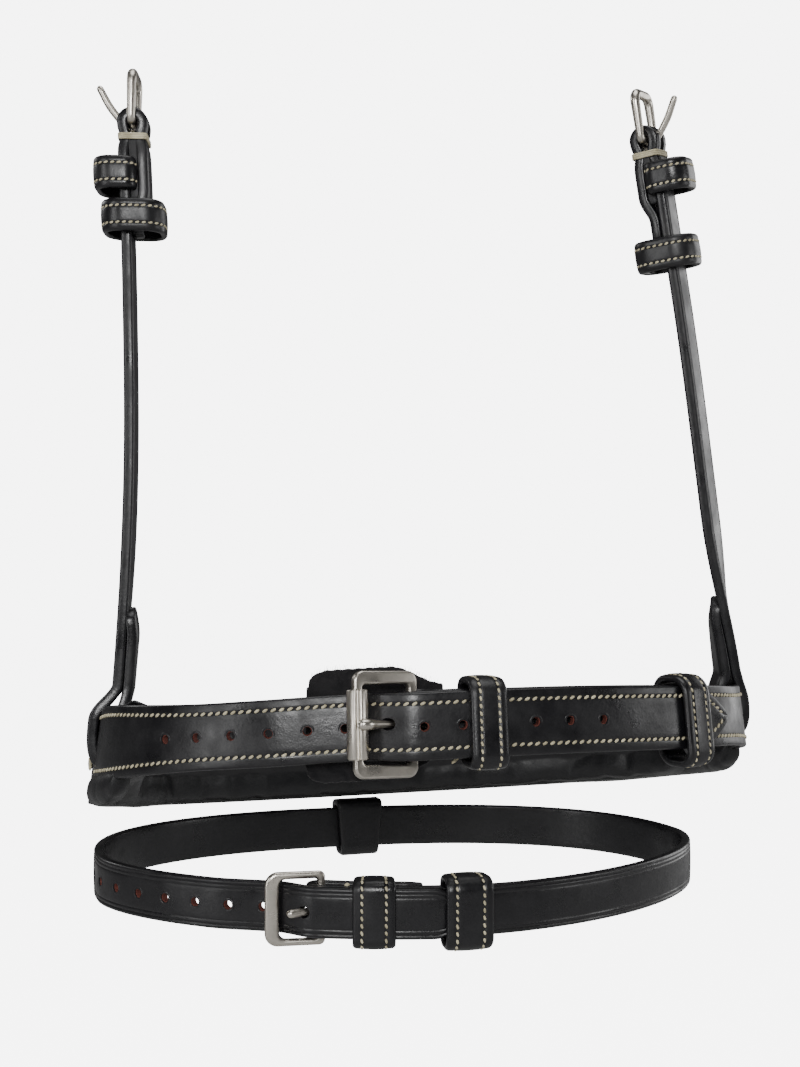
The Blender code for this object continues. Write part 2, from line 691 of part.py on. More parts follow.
def make_roller_buckle():
    matrix = roller_frame_matrix()
    flat = matrix @ Matrix.Rotation(math.radians(90.0), 4, "X")
    reach = ROLLER_BUCKLE_REACH
    outer = rounded_box(reach + ROLLER_BAR, ROLLER_BUCKLE_HEIGHT, ROLLER_FRAME_CORNER)
    opening = ROLLER_BUCKLE_HEIGHT - 2 * ROLLER_SIDE_BAR
    inner = rounded_box(reach - ROLLER_BAR, opening, ROLLER_OPENING_CORNER, 2)
    outlines = [[(x + reach / 2, y) for x, y in line] for line in (outer, inner)]
    frame = plate("roller_buckle_frame", NICKEL, outlines, ROLLER_FRAME_THICKNESS, flat)
    bevel = frame.modifiers.new("edges", "BEVEL")
    bevel.width = ROLLER_EDGE_ROUNDING
    bevel.segments = 1
    bevel.limit_method = "ANGLE"
    bevel.angle_limit = math.radians(50.0)
    roller_centre = matrix @ Matrix.Translation((reach, 0.0, 0.0))
    make_roller(roller_centre)
    eye = ROLLER_BAR_CLEARANCE + GAP + ROLLER_TONGUE_RADIUS
    over = ROLLER_RADIUS + GAP + ROLLER_TONGUE_RADIUS
    shank = [
        (3.0 * MM, eye - 0.2 * MM),
        (TONGUE_HOLE_REACH, TONGUE_HOLE_RISE),
        (reach - 4.5 * MM, over - 0.6 * MM),
        (reach - 1.2 * MM, over + 0.2 * MM),
        (reach + 0.8 * MM, over + 0.2 * MM),
    ]
    wire("roller_buckle_tongue", NICKEL, hook_path(eye, shank), ROLLER_TONGUE_RADIUS, matrix)


def make_roller(matrix):
    """A short tube turning on the buckle's front bar, from a profile turned about local Z."""
    half = ROLLER_LENGTH / 2
    chamfer = 0.5 * MM
    profile = [
        (ROLLER_RADIUS, half - chamfer),
        (ROLLER_RADIUS, chamfer - half),
        (ROLLER_RADIUS - chamfer, -half),
        (ROLLER_BORE, -half),
        (ROLLER_BORE, half),
        (ROLLER_RADIUS - chamfer, half),
    ]
    mesh = bpy.data.meshes.new("buckle_roller")
    bm = bmesh.new()
    verts = [bm.verts.new((x, 0.0, z)) for x, z in profile]
    for first, second in zip(verts, verts[1:] + verts[:1]):
        bm.edges.new((first, second))
    bm.to_mesh(mesh)
    bm.free()
    roller = add_object("buckle_roller", mesh, NICKEL)
    roller.matrix_world = matrix
    screw = roller.modifiers.new("turned", "SCREW")
    screw.axis = "Z"
    screw.steps = 20
    screw.render_steps = 20
    screw.use_merge_vertices = True
    screw.merge_threshold = 0.00001
    screw.use_smooth_shade = True


def make_chin_guard():
    """The soft flap behind the buckle, taller than the strap and rounded at its left end."""
    start, end = BAR_S - GUARD_LEFT, BAR_S + GUARD_RIGHT
    rows = []
    for s in spaced(start, end, 4.0 * MM):
        left = math.sqrt(max(0.0, 1.0 - (1.0 - min(1.0, (s - start) / GUARD_CORNER)) ** 2))
        right = mix(1.0, GUARD_RIGHT_SHARE, smooth(s, end - GUARD_TAPER, end))
        half = GUARD_HALF_HEIGHT * mix(0.72, 1.0, left) * right
        rows.append(chin_row(s, GUARD_OUT, half))
    strip("chin_guard", SUEDE, rows, GUARD_THICKNESS)


def keeper_rows(ring, s, out_low, out_high, z, half_height, half_length, slant=0.0, corner=2.2 * MM, steps=2):
    """A closed loop of keeper leather round a stack of straps, centred at length s of a ring.

    slant is how far the straps stand out per unit of height downwards.
    """
    depth = out_high - out_low
    outline = rounded_box(depth, 2 * half_height, corner, steps)
    middle = (out_low + out_high) / 2
    rows = []
    for out, height in outline:
        stand = middle + out - slant * height
        edge = [ring.point(s + side * half_length, stand, z + height) for side in (-1, 1)]
        rows.append((edge[0], edge[1]))
    return rows


def make_noseband_keepers():
    outside = OVER_OUT + STRAP_THICKNESS / 2 + 2 * GAP + KEEPER_THICKNESS / 2
    inside_fixed = STRAP_OUT - 1.5 * STRAP_THICKNESS - GAP - 2 * GAP - KEEPER_THICKNESS / 2
    inside_running = LINING_OUT - LINING_THICKNESS / 2 - 2 * GAP - KEEPER_THICKNESS / 2
    reach = CHIN_HALF_HEIGHT + 2 * GAP + KEEPER_THICKNESS / 2
    s = BAND.at_x(FIXED_KEEPER_X)
    room, half = reach + FIXED_KEEPER_ROOM, KEEPER_HALF_LENGTH
    rows = keeper_rows(BAND, s, inside_fixed, outside, chin_centre(s), room, half, FLARE)
    strip("noseband_fixed_keeper", LEATHER, rows, KEEPER_THICKNESS, closed=True, rounding=KEEPER_EDGE_ROUNDING)
    running_s = BAND.at_x(RUNNING_KEEPER_X)
    low, high = inside_running - RUNNING_KEEPER_SLACK, outside + RUNNING_KEEPER_SLACK
    centre = chin_centre(running_s) - RUNNING_KEEPER_SAG
    rows = keeper_rows(BAND, running_s, low, high, centre, reach + RUNNING_KEEPER_ROOM, half, FLARE)
    keeper = strip(
        "noseband_running_keeper", LEATHER, rows, KEEPER_THICKNESS, closed=True, rounding=KEEPER_EDGE_ROUNDING
    )
    place_on_axis(keeper, BAND.point(running_s, 0.0, chin_centre(running_s)))


# ---------------------------------------------------------------- cheek hangers


class Hanger:
    """Places of one cheek hanger. side is +1 for the horse's right and -1 for its left."""

    def __init__(self, side, neck, top, outer_angle, bow, keepers):
        self.side = side
        self.name = "right" if side > 0 else "left"
        self.neck = Vector(neck) + Vector((0.0, CENTRE_Y, 0.0))
        self.top = Vector(top) + Vector((0.0, CENTRE_Y, 0.0))
        self.s = BAND.at_y(self.neck.y) * side
        self.spine = (self.top - self.neck).normalized()
        band_out = BAND.outward(self.s)
        self.low_angle = math.atan2(band_out.y, band_out.x * side)
        self.high_angle = outer_angle
        self.bow = bow
        self.fixed_keeper, self.running_keeper = keepers
        self.bar = self.top.z - self.neck.z - HANGER_BUCKLE_TALL
        self.outer_layer = HANGER_WIRE + GAP + HANGER_THICKNESS / 2

    def outward(self, height):
        """Outer face's direction at a height along the spine over the fork."""
        share = smooth(height, 0.0, HANGER_TWIST_LENGTH)
        angle = mix(self.low_angle, self.high_angle, share)
        out = Vector((math.cos(angle) * self.side, math.sin(angle), 0.0))
        if height > 0.0:
            out = (out - self.spine * out.dot(self.spine)).normalized()
        return out

    def point(self, height, out):
        """A point of the hanger's middle plane; below the fork the spine hangs straight down."""
        if height < 0.0:
            return self.neck + UP * height + self.outward(0.0) * out
        curve = self.bow * math.sin(math.pi * height / self.bar)
        return self.neck + self.spine * height + self.outward(height) * (out + curve)

    def across(self, height):
        """Fore-and-aft direction of the strap's width."""
        along = self.spine if height > 0.0 else UP
        return self.outward(height).cross(along).normalized()

    def loop_row(self, height, layer, band_out, share):
        """A station of the loop, which goes over from the spine's layer to the noseband's face."""
        z = self.neck.z + height
        at_band = BAND.point(self.s, band_out + flare(self.s, z), z)
        centre = self.point(height, layer).lerp(at_band, smooth(share, 0.0, 1.0))
        across = self.across(height) * HANGER_HALF_WIDTH
        return centre - across, centre + across

    def row(self, height, out, half_width=HANGER_HALF_WIDTH):
        centre, across = self.point(height, out), self.across(height)
        return centre - across * half_width, centre + across * half_width

    def bar_matrix(self):
        """Local X points up the spine, local Y outward; the heel bar lies along local Z."""
        return frame_matrix(self.point(self.bar, 0.0), self.spine, self.outward(self.bar))


LAYER_HALF = (HANGER_THICKNESS + GAP) / 2


def make_hanger_loop(hanger):
    """The hanger's lower end: down outside the side strap, under it, and up inside to the turned-back tip."""
    clear = HANGER_LOOP_CLEARANCE + HANGER_THICKNESS / 2
    outer_face = STRAP_OUT + STRAP_THICKNESS / 2 + clear
    inner_face = LINING_OUT - LINING_THICKNESS / 2 - clear
    strap_bottom = chin_centre(hanger.s) - chin_half_height(hanger.s)
    bottom = strap_bottom - HANGER_LOOP_DROP - HANGER_THICKNESS / 2 - hanger.neck.z
    turn = (outer_face - inner_face) / 2
    middle = (outer_face + inner_face) / 2
    fork, shoulder = HANGER_FORK, HANGER_SHOULDER
    shares = spaced(0.0, 1.0, 0.2)
    rows = [hanger.row(height, LAYER_HALF) for height in spaced(HANGER_FLEX, fork)]
    rows += [hanger.loop_row(mix(fork, shoulder, share), LAYER_HALF, outer_face, share) for share in shares[1:]]
    rows += [hanger.loop_row(h, 0.0, outer_face, 1.0) for h in spaced(shoulder, bottom + turn, 5.0 * MM)[1:-1]]
    for i in range(9):
        angle = math.radians(180.0 * i / 8.0)
        height = bottom + turn - turn * math.sin(angle)
        rows.append(hanger.loop_row(height, 0.0, middle + turn * math.cos(angle), 1.0))
    rows += [hanger.loop_row(h, 0.0, inner_face, 1.0) for h in spaced(bottom + turn, shoulder, 5.0 * MM)[1:-1]]
    rows += [hanger.loop_row(mix(fork, shoulder, s), -LAYER_HALF, inner_face, s) for s in shares[:0:-1]]
    rows += [hanger.row(height, -LAYER_HALF) for height in spaced(fork, HANGER_FLEX - HANGER_FLEX_GAP)]
    loop = strip(f"hanger_loop_{hanger.name}", LEATHER, rows, HANGER_THICKNESS)
    place_on_axis(loop, hanger.point(0.0, 0.0))


def hanger_half_width(from_bar):
    """The strap is narrowed where it goes round its buckle's bar."""
    return mix(HANGER_FOLD_HALF_WIDTH, HANGER_HALF_WIDTH, smooth(from_bar, 5.0 * MM, 13.0 * MM))


def make_hanger_strap(hanger):
    """The long strap above the flex line, folded over its buckle's heel bar at the top."""
    room = KEEPER_THICKNESS + 2 * GAP
    path, radius = fold_path(
        HANGER_WIRE, HANGER_THICKNESS, HANGER_THICKNESS + GAP, HANGER_TURN_BACK, room, HANGER_KEEPER_END
    )
    rows = []
    for along, out in path:
        rows.append(hanger.row(hanger.bar - along, out, hanger_half_width(along)))
    start = hanger.bar - 3.0 * MM
    end = HANGER_FLEX + HANGER_FLEX_GAP
    fold_end = hanger.bar - HANGER_FOLD_END
    for height in spaced(start, fold_end, LONG_STATION):
        rows.append(hanger.row(height, radius, hanger_half_width(hanger.bar - height)))
    for height in spaced(fold_end, end, LONG_STATION)[1:]:
        out = mix(radius, LAYER_HALF, smooth(fold_end - height, 0.0, fold_end - end))
        rows.append(hanger.row(height, out))
    strap = strip(f"hanger_strap_{hanger.name}", LEATHER, rows, HANGER_THICKNESS)
    slot_name = f"hanger_slot_{hanger.name}"
    cut(strap, box_cutter(slot_name, hanger.bar_matrix(), HANGER_SLOT_LOW, HANGER_SLOT_HIGH))
    place_on_axis(strap, hanger.point(HANGER_FLEX, LAYER_HALF))


def make_hanger_buckle(hanger):
    matrix = hanger.bar_matrix()
    tall = HANGER_BUCKLE_TALL - HANGER_WIRE
    outline = rounded_box(tall, HANGER_BUCKLE_WIDE - 2 * HANGER_WIRE, HANGER_BUCKLE_CORNER, 3, BAR_CORNER)
    points = [(x + tall / 2, 0.0, z) for x, z in outline]
    wire(f"hanger_buckle_frame_{hanger.name}", NICKEL, points, HANGER_WIRE, matrix, closed=True)
    eye = HANGER_WIRE + GAP + HANGER_TONGUE_RADIUS
    length = HANGER_TONGUE_LENGTH
    shank = [(4.0 * MM, eye), (length * 0.6, eye + 0.2 * MM), (length, eye - 0.6 * MM)]
    leaning = matrix @ Matrix.Rotation(HANGER_TONGUE_LEAN, 4, "Z")
    wire(f"hanger_buckle_tongue_{hanger.name}", NICKEL, hook_path(eye, shank), HANGER_TONGUE_RADIUS, leaning)


def hanger_ring_rows(hanger, height, out_low, out_high, half_width, half_height, corner):
    """A closed loop round the hanger strap, its height along the strap."""
    outline = rounded_box(out_high - out_low, 2 * half_width, corner, 3)
    middle = (out_low + out_high) / 2
    across = hanger.across(height)
    rows = []
    for out, width in outline:
        low = hanger.point(height - half_height, middle + out) + across * width
        high = hanger.point(height + half_height, middle + out) + across * width
        rows.append((low, high))
    return rows


def make_hanger_keepers(hanger):
    outer = hanger.outer_layer
    thick = HANGER_KEEPER_THICKNESS
    inner_wall = outer - (HANGER_THICKNESS + thick) / 2 - 2 * GAP
    outer_wall = outer + HANGER_THICKNESS / 2 + FIXED_KEEPER_STAND
    half = HANGER_KEEPER_HEIGHT / 2
    width = HANGER_HALF_WIDTH + 2 * GAP + thick / 2 + HANGER_KEEPER_ROOM
    height = hanger.bar - hanger.fixed_keeper
    rows = hanger_ring_rows(hanger, height, inner_wall, outer_wall, width, half, 3.0 * MM)
    name = f"hanger_fixed_keeper_{hanger.name}"
    strip(name, LEATHER, rows, thick, closed=True, rounding=KEEPER_EDGE_ROUNDING)
    low = outer - 2 * HANGER_THICKNESS - RUNNING_KEEPER_BEHIND
    high = outer + HANGER_THICKNESS / 2 + RUNNING_KEEPER_STAND
    centre = hanger.bar - hanger.running_keeper
    rows = hanger_ring_rows(hanger, centre, low, high, width + HANGER_KEEPER_ROOM, half, 5.0 * MM)
    name = f"hanger_running_keeper_{hanger.name}"
    keeper = strip(name, LEATHER, rows, thick, closed=True, rounding=KEEPER_EDGE_ROUNDING)
    place_on_axis(keeper, hanger.point(centre, outer))


def make_hanger_binding(hanger):
    """Thread whipped round both layers just under the buckle."""
    radius = BINDING_RADIUS
    height = hanger.bar - BINDING_FROM_BAR
    depth = 2 * hanger.outer_layer + HANGER_THICKNESS + 2 * GAP + 2 * radius
    across, out_dir = hanger.across(height), hanger.outward(height)
    outline = rounded_box(depth, 2 * (HANGER_FOLD_HALF_WIDTH + 2 * GAP + radius), 1.2 * MM, 2)
    points = [hanger.point(height, 0.0) + out_dir * out + across * width for out, width in outline]
    wire(f"hanger_thread_binding_{hanger.name}", THREAD, points, radius, closed=True)


def make_hangers():
    left = Hanger(-1, LEFT_NECK, LEFT_TOP, LEFT_ANGLE, LEFT_BOW, LEFT_KEEPERS)
    right = Hanger(1, RIGHT_NECK, RIGHT_TOP, RIGHT_ANGLE, RIGHT_BOW, RIGHT_KEEPERS)
    for hanger in (left, right):
        make_hanger_loop(hanger)
        make_hanger_strap(hanger)
        make_hanger_buckle(hanger)
        make_hanger_keepers(hanger)
        make_hanger_binding(hanger)


# ---------------------------------------------------------------- flash strap

FLASH_BAR_S = FLASH.at_x(FLASH_BAR_X)
FLASH_FOLD = FLASH_WIRE + GAP + FLASH_THICKNESS / 2
FLASH_BAR_OUT = -FLASH_FOLD
FLASH_OVER = FLASH_THICKNESS + GAP


def flash_centre(s):
    """Height of the flash strap's centre line; its right side hangs slightly lower."""
    return FLASH_HEIGHT + FLASH_LEAN * (FLASH.point(s).x - FLASH_SHIFT_X)


def flash_row(s, out, half_height=FLASH_HALF_HEIGHT):
    centre = flash_centre(s)
    return FLASH.point(s, out, centre - half_height), FLASH.point(s, out, centre + half_height)


def flash_billet_out(s):
    """Offset of the flash strap's free end, which dips under the buckle and rises over its bar."""
    dip = -FLASH_DIP * smooth(s, FLASH_BAR_S - 2 * FLASH_DIP_LENGTH, FLASH_BAR_S - FLASH_DIP_LENGTH)
    return mix(dip, FLASH_OVER, smooth(s, FLASH_BAR_S - FLASH_RISE_LENGTH, FLASH_BAR_S))


def wrapped(s):
    """Keeps a length inside the flash ring's range."""
    full = 2 * FLASH.half_length
    return s - full if s > FLASH.half_length else s


def make_flash_strap():
    """One strap: tail behind the bar, round it, right round the ring, and out over itself to the tip."""
    path, _ = fold_path(
        FLASH_WIRE, FLASH_THICKNESS, FLASH_THICKNESS + GAP, FLASH_TAIL, FLASH_TAIL_ROOM, FLASH_TAIL_ROOM_END
    )
    rows = [flash_row(FLASH_BAR_S + along, FLASH_BAR_OUT + out) for along, out in path]
    full_turn = FLASH_BAR_S + 2 * FLASH.half_length
    for s in spaced(FLASH_BAR_S + 3.0 * MM, full_turn - 30.0 * MM, LONG_STATION):
        place = wrapped(s)
        rows.append(flash_row(place, flash_billet_out(place) if place < FLASH_BAR_S else 0.0))
    tip = FLASH_BAR_S + FLASH_TIP_PAST_BAR
    for s in spaced(FLASH_BAR_S - 30.0 * MM, FLASH_BAR_S + 3.0 * MM, 3.0 * MM)[1:]:
        rows.append(flash_row(s, flash_billet_out(s)))
    for s in spaced(FLASH_BAR_S + 3.0 * MM, tip - FLASH_TIP_ROUND)[1:]:
        rows.append(flash_row(s, FLASH_OVER))
    for i in range(1, 5):
        turn = math.radians(80.0 * i / 4.0)
        s = tip - FLASH_TIP_ROUND * (1.0 - math.sin(turn))
        rows.append(flash_row(s, FLASH_OVER, FLASH_HALF_HEIGHT * math.cos(turn) ** 0.8))
    strap = strip("flash_strap", LEATHER, rows, FLASH_THICKNESS, rounding=0.0)
    slot = box_cutter(
        "flash_slot",
        FLASH.frame(FLASH_BAR_S, FLASH_BAR_OUT, flash_centre(FLASH_BAR_S)),
        (-4.0 * MM, -11.0 * MM, -1.7 * MM),
        (5.5 * MM, FLASH_FOLD + FLASH_THICKNESS / 2 + GAP / 2, 1.7 * MM),
    )
    cut(strap, slot)
    tongue_way = flash_buckle_matrix() @ Matrix.Translation((4.6 * MM, FLASH_FOLD + 1.6 * MM, 0.0))
    matrices = [tongue_way @ Matrix.Rotation(math.radians(-60.0), 4, "Z")]
    radii = [FLASH_TONGUE_RADIUS + 0.9 * MM]
    for i in range(1, FLASH_HOLE_COUNT):
        s = FLASH_BAR_S - FLASH_FIRST_HOLE - i * FLASH_HOLE_PITCH
        outward = FLASH.outward(s)
        middle = FLASH.point(s, flash_billet_out(s), flash_centre(s))
        matrices.append(frame_matrix(middle, outward.cross(UP), outward))
        radii.append(HOLE_RADIUS)
    cut(strap, round_hole_cutter("flash_holes", matrices, radii, 8.0 * MM))


def flash_buckle_matrix():
    """Local X runs from the flash buckle's heel bar towards its front bar; local Y points outward."""
    frame = FLASH.frame(FLASH_BAR_S, FLASH_BAR_OUT, flash_centre(FLASH_BAR_S))
    return frame @ Matrix.Rotation(FLASH_TILT, 4, "Z")


def make_flash_buckle():
    matrix = flash_buckle_matrix()
    height = FLASH_BUCKLE_HEIGHT - 2 * FLASH_WIRE
    outline = rounded_box(FLASH_BUCKLE_REACH, height, FLASH_BUCKLE_CORNER, 3, BAR_CORNER)
    points = [(x + FLASH_BUCKLE_REACH / 2, 0.0, z) for x, z in outline]
    wire("flash_buckle_frame", NICKEL, points, FLASH_WIRE, matrix, closed=True)
    eye = FLASH_WIRE + GAP + FLASH_TONGUE_RADIUS
    shank = [(1.6 * MM, eye + 0.3 * MM), (6.0 * MM, eye + 2.6 * MM), (10.5 * MM, eye + 4.4 * MM)]
    wire("flash_buckle_tongue", NICKEL, hook_path(eye, shank), FLASH_TONGUE_RADIUS, matrix)


def make_flash_keepers():
    thick = FLASH_KEEPER_THICKNESS
    high = FLASH_OVER + FLASH_THICKNESS / 2 + 2 * GAP + thick / 2
    low = -FLASH_THICKNESS / 2 - 2 * GAP - thick / 2
    reach = FLASH_HALF_HEIGHT + 2 * GAP + thick / 2
    s = FLASH.at_x(FLASH_FIXED_KEEPER_X)
    rows = keeper_rows(FLASH, s, low, high, flash_centre(s), reach, FLASH_FIXED_KEEPER_HALF)
    strip("flash_fixed_keeper", LEATHER, rows, thick, closed=True, rounding=KEEPER_EDGE_ROUNDING)
    running_s = FLASH.at_x(FLASH_RUNNING_KEEPER_X)
    centre, reach = flash_centre(running_s), reach + FLASH_RUNNING_KEEPER_ROOM
    rows = keeper_rows(FLASH, running_s, low - GAP, high + GAP, centre, reach, FLASH_RUNNING_KEEPER_HALF)
    keeper = strip("flash_running_keeper", LEATHER, rows, thick, closed=True, rounding=KEEPER_EDGE_ROUNDING)
    place_on_axis(keeper, FLASH.point(running_s, 0.0, flash_centre(running_s)))


def make_flash_loop():
    """The loop sewn under the nosepiece that carries the flash strap at the middle of the nose."""
    thick, clear = FLASH_LOOP_THICKNESS, FLASH_LOOP_CLEARANCE
    low = -FLASH_THICKNESS / 2 - clear - thick / 2
    high = FLASH_THICKNESS / 2 + clear + thick / 2
    y = CENTRE_Y + FLASH_SHIFT_Y + FLASH_HALF_DEPTH
    z_low = FLASH_HEIGHT - FLASH_HALF_HEIGHT - clear - thick / 2
    z_high = FLASH_HEIGHT + FLASH_HALF_HEIGHT + clear + thick / 2
    outline = rounded_box(high - low, z_high - z_low, 2.0 * MM, 2)
    rows = []
    for out, height in outline:
        z = (z_low + z_high) / 2 + height
        half = mix(*FLASH_LOOP_HALF_WIDTHS, (z - z_low) / (z_high - z_low))
        rows.append((Vector((-half, y + out, z)), Vector((half, y + out, z))))
    loop = strip("flash_loop", LEATHER, rows, thick, closed=True, rounding=KEEPER_EDGE_ROUNDING)
    place_on_axis(loop, (0.0, y, z_high + thick / 2))


make_nosepiece()
make_billet()
make_buckle_strap()
make_roller_buckle()
make_chin_guard()
make_noseband_keepers()
make_hangers()
make_flash_strap()
make_flash_buckle()
make_flash_keepers()
make_flash_loop()
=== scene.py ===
"""Looks of the flash noseband: fine leather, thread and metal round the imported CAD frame.

Lengths along a strap are measured from the middle of its chin side, positive towards +X, as in the CAD.
"""

import random
from math import atan2, ceil, copysign, cos, exp, hypot, pi, radians, sin, sqrt

import bmesh
import bpy
import numpy as np
from mathutils import Matrix, Vector


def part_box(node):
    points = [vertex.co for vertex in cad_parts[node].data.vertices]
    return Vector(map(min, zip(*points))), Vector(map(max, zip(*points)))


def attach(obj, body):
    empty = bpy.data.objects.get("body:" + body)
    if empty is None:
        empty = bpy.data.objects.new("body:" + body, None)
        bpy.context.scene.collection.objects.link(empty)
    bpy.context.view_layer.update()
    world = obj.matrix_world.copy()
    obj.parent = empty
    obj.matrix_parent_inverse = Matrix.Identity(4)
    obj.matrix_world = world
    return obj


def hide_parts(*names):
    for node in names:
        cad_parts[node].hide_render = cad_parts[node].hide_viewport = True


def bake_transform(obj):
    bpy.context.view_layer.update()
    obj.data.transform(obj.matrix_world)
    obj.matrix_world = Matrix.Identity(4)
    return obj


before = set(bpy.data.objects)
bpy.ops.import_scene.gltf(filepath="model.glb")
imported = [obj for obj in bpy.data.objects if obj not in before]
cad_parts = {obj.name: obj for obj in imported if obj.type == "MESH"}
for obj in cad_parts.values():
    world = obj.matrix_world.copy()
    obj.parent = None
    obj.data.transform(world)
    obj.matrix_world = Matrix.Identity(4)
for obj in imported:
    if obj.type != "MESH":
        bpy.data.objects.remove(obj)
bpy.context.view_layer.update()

MM = 0.001
UP = Vector((0.0, 0.0, 1.0))
RANDOM = random.Random(7)


def low(node):
    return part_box(node)[0]


def high(node):
    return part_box(node)[1]


def mm(*lengths):
    """Lengths given in millimetres, as a tuple in metres."""
    return tuple(length * MM for length in lengths)


# Leather layers, as the CAD stacks them.
GAP = 0.3 * MM
STRAP_THICKNESS = 2.6 * MM
LINING_THICKNESS = 1.2 * MM
NOSE_LEATHER_THICKNESS = 2.8 * MM
NOSE_PADDING_THICKNESS = 5.0 * MM
NOSE_LINING_THICKNESS = 1.5 * MM
NOSE_LINING_OUT = -6.9 * MM
GUARD_THICKNESS = 2.2 * MM
KEEPER_THICKNESS = 2.2 * MM
HANGER_THICKNESS = 3.4 * MM
FLASH_THICKNESS = 3.2 * MM
STRAP_OUT = 1.0 * MM
STRAP_FACE = STRAP_OUT + STRAP_THICKNESS / 2
STRAP_BACK = STRAP_OUT - STRAP_THICKNESS / 2
LINING_OUT = STRAP_BACK - GAP - LINING_THICKNESS / 2
LINING_BACK = LINING_OUT - LINING_THICKNESS / 2
FLARE = 0.12

# The two rings, sized by the frame.
PADDING_STANDS_IN = 4.8 * MM
BAND_HALF_WIDTH = high("nosepiece_padding").x + PADDING_STANDS_IN
BAND_HALF_DEPTH = 81.5 * MM
BAND_POWER = 2.2
CENTRE_Y = -(BAND_HALF_DEPTH + NOSE_LINING_OUT - NOSE_LINING_THICKNESS / 2)
FLASH_LEFT = low("flash_strap").x + FLASH_THICKNESS / 2
FLASH_RIGHT = high("flash_strap").x - FLASH_THICKNESS / 2
FLASH_BACK = high("flash_strap").y - FLASH_THICKNESS / 2
FLASH_CENTRE_X = (FLASH_RIGHT + FLASH_LEFT) / 2
FLASH_HALF_DEPTH = 78.1 * MM
FLASH_FRONT_POWER = 1.73
FLASH_BACK_POWER = 2.33

# Heights along the noseband and the flash strap.
CHIN_HEIGHT = 29.6 * MM
CHIN_DROP_AT_SIDES = 12.4 * MM
CHIN_HALF_HEIGHT = 10.3 * MM
SIDE_HALF_HEIGHT = 12.6 * MM
NOSE_TOP_AT_SIDES = 31.0 * MM
NOSE_BOTTOM_AT_SIDES = -3.8 * MM
NOSE_TOP_SLOPE = -0.145
NOSE_BOTTOM_SLOPE = -0.187
NOSE_START_Y = -7.5 * MM
NOSE_LEATHER_START_Y = 27.0 * MM
NOSE_TAPER = 26.0 * MM
NOSE_STRAP_LAP = 40.0 * MM
LOOP_CLEARANCE = 0.7 * MM
FLASH_HEIGHT = -31.2 * MM
FLASH_LEAN = -0.016
FLASH_HALF_HEIGHT = 8.0 * MM

# Stitching.
THREAD_RADIUS = 0.42 * MM
STITCH_PITCH = 2.6 * MM
STITCH_INSET = 3.4 * MM
KEEPER_STITCH_PITCH = 2.3 * MM
KEEPER_STITCH = {"length": 1.6 * MM, "radius": 0.38 * MM, "slant": 16.0}


# ---- materials


class Nodes:
    """Short ways to add and link shader nodes."""

    def __init__(self, tree):
        self.tree = tree

    def node(self, kind, **values):
        node = self.tree.nodes.new("ShaderNode" + kind)
        for key, value in values.items():
            node.inputs[key.replace("_", " ")].default_value = value
        return node

    def link(self, source, node, socket):
        self.tree.links.new(source, node.inputs[socket])

    def texture(self, kind, scale, output="Fac", **values):
        """The value of a texture that reads object coordinates."""
        node = self.node("Tex" + kind, Scale=scale, **values)
        self.link(self.node("TexCoord").outputs["Object"], node, "Vector")
        return node.outputs[output]

    def noise(self, scale, detail, **values):
        return self.texture("Noise", scale, Detail=detail, **values)

    def ramp(self, source, low_value, high_value, start=0.3, end=0.7):
        """Maps a value to a range."""
        node = self.node("MapRange", From_Min=start, From_Max=end, To_Min=low_value, To_Max=high_value)
        self.link(source, node, "Value")
        return node.outputs["Result"]

    def mixed(self, factor, first, second):
        """Two colours mixed by a factor; the first may be another node's output."""
        node = self.node("Mix")
        node.data_type = "RGBA"
        if isinstance(first, bpy.types.NodeSocket):
            self.link(first, node, "A")
        else:
            node.inputs["A"].default_value = (*first, 1.0)
        node.inputs["B"].default_value = (*second, 1.0)
        self.link(factor, node, "Factor")
        return node.outputs["Result"]


class Look(Nodes):
    """A Principled material."""

    def __init__(self, name, colour, roughness, metallic=0.0, **values):
        self.material = bpy.data.materials.new(name)
        self.material.use_nodes = True
        super().__init__(self.material.node_tree)
        self.shader = self.tree.nodes["Principled BSDF"]
        values.update(Base_Color=(*colour, 1.0), Roughness=roughness, Metallic=metallic)
        for key, value in values.items():
            self.shader.inputs[key.replace("_", " ")].default_value = value

    def cloudy(self, socket, source, first, second):
        """Drives one of the shader's values or colours by a texture."""
        if socket == "Base Color":
            self.link(self.mixed(self.ramp(source, 0.0, 1.0), first, second), self.shader, socket)
        else:
            self.link(self.ramp(source, first, second), self.shader, socket)

    def bump(self, *heights):
        """Adds relief, each of the heights being (value, strength, distance), and gives the material."""
        previous = None
        for value, strength, distance in heights:
            node = self.node("Bump", Strength=strength, Distance=distance)
            self.link(value, node, "Height")
            if previous:
                self.link(previous, node, "Normal")
            previous = node.outputs["Normal"]
        self.link(previous, self.shader, "Normal")
        return self.material


def leather(name, dark, worn, smooth_side, rough_side, grain, wrinkle=0.0):
    """Waxed leather: fine grain, cloudy sheen, a little colour change and paler worn edges."""
    look = Look(name, dark, smooth_side)
    clouds = look.ramp(look.noise(70.0, 5.0, Roughness=0.62), smooth_side, rough_side, 0.35, 0.68)
    look.link(clouds, look.shader, "Roughness")
    tint = look.mixed(look.ramp(look.noise(130.0, 4.0, Roughness=0.6), 0.0, 1.0), dark, worn)
    edge = look.ramp(look.node("NewGeometry").outputs["Pointiness"], 0.0, 0.55, 0.53, 0.62)
    look.link(look.mixed(edge, tint, [c * 2.6 for c in worn]), look.shader, "Base Color")
    return look.bump(
        (look.texture("Voronoi", 1500.0, "Distance"), 0.16 * grain, 0.10 * MM),
        (look.noise(900.0, 5.0, Roughness=0.65), 0.32 * grain, 0.12 * MM),
        (look.noise(210.0, 2.0), 0.20 + wrinkle, 0.45 * MM),
    )


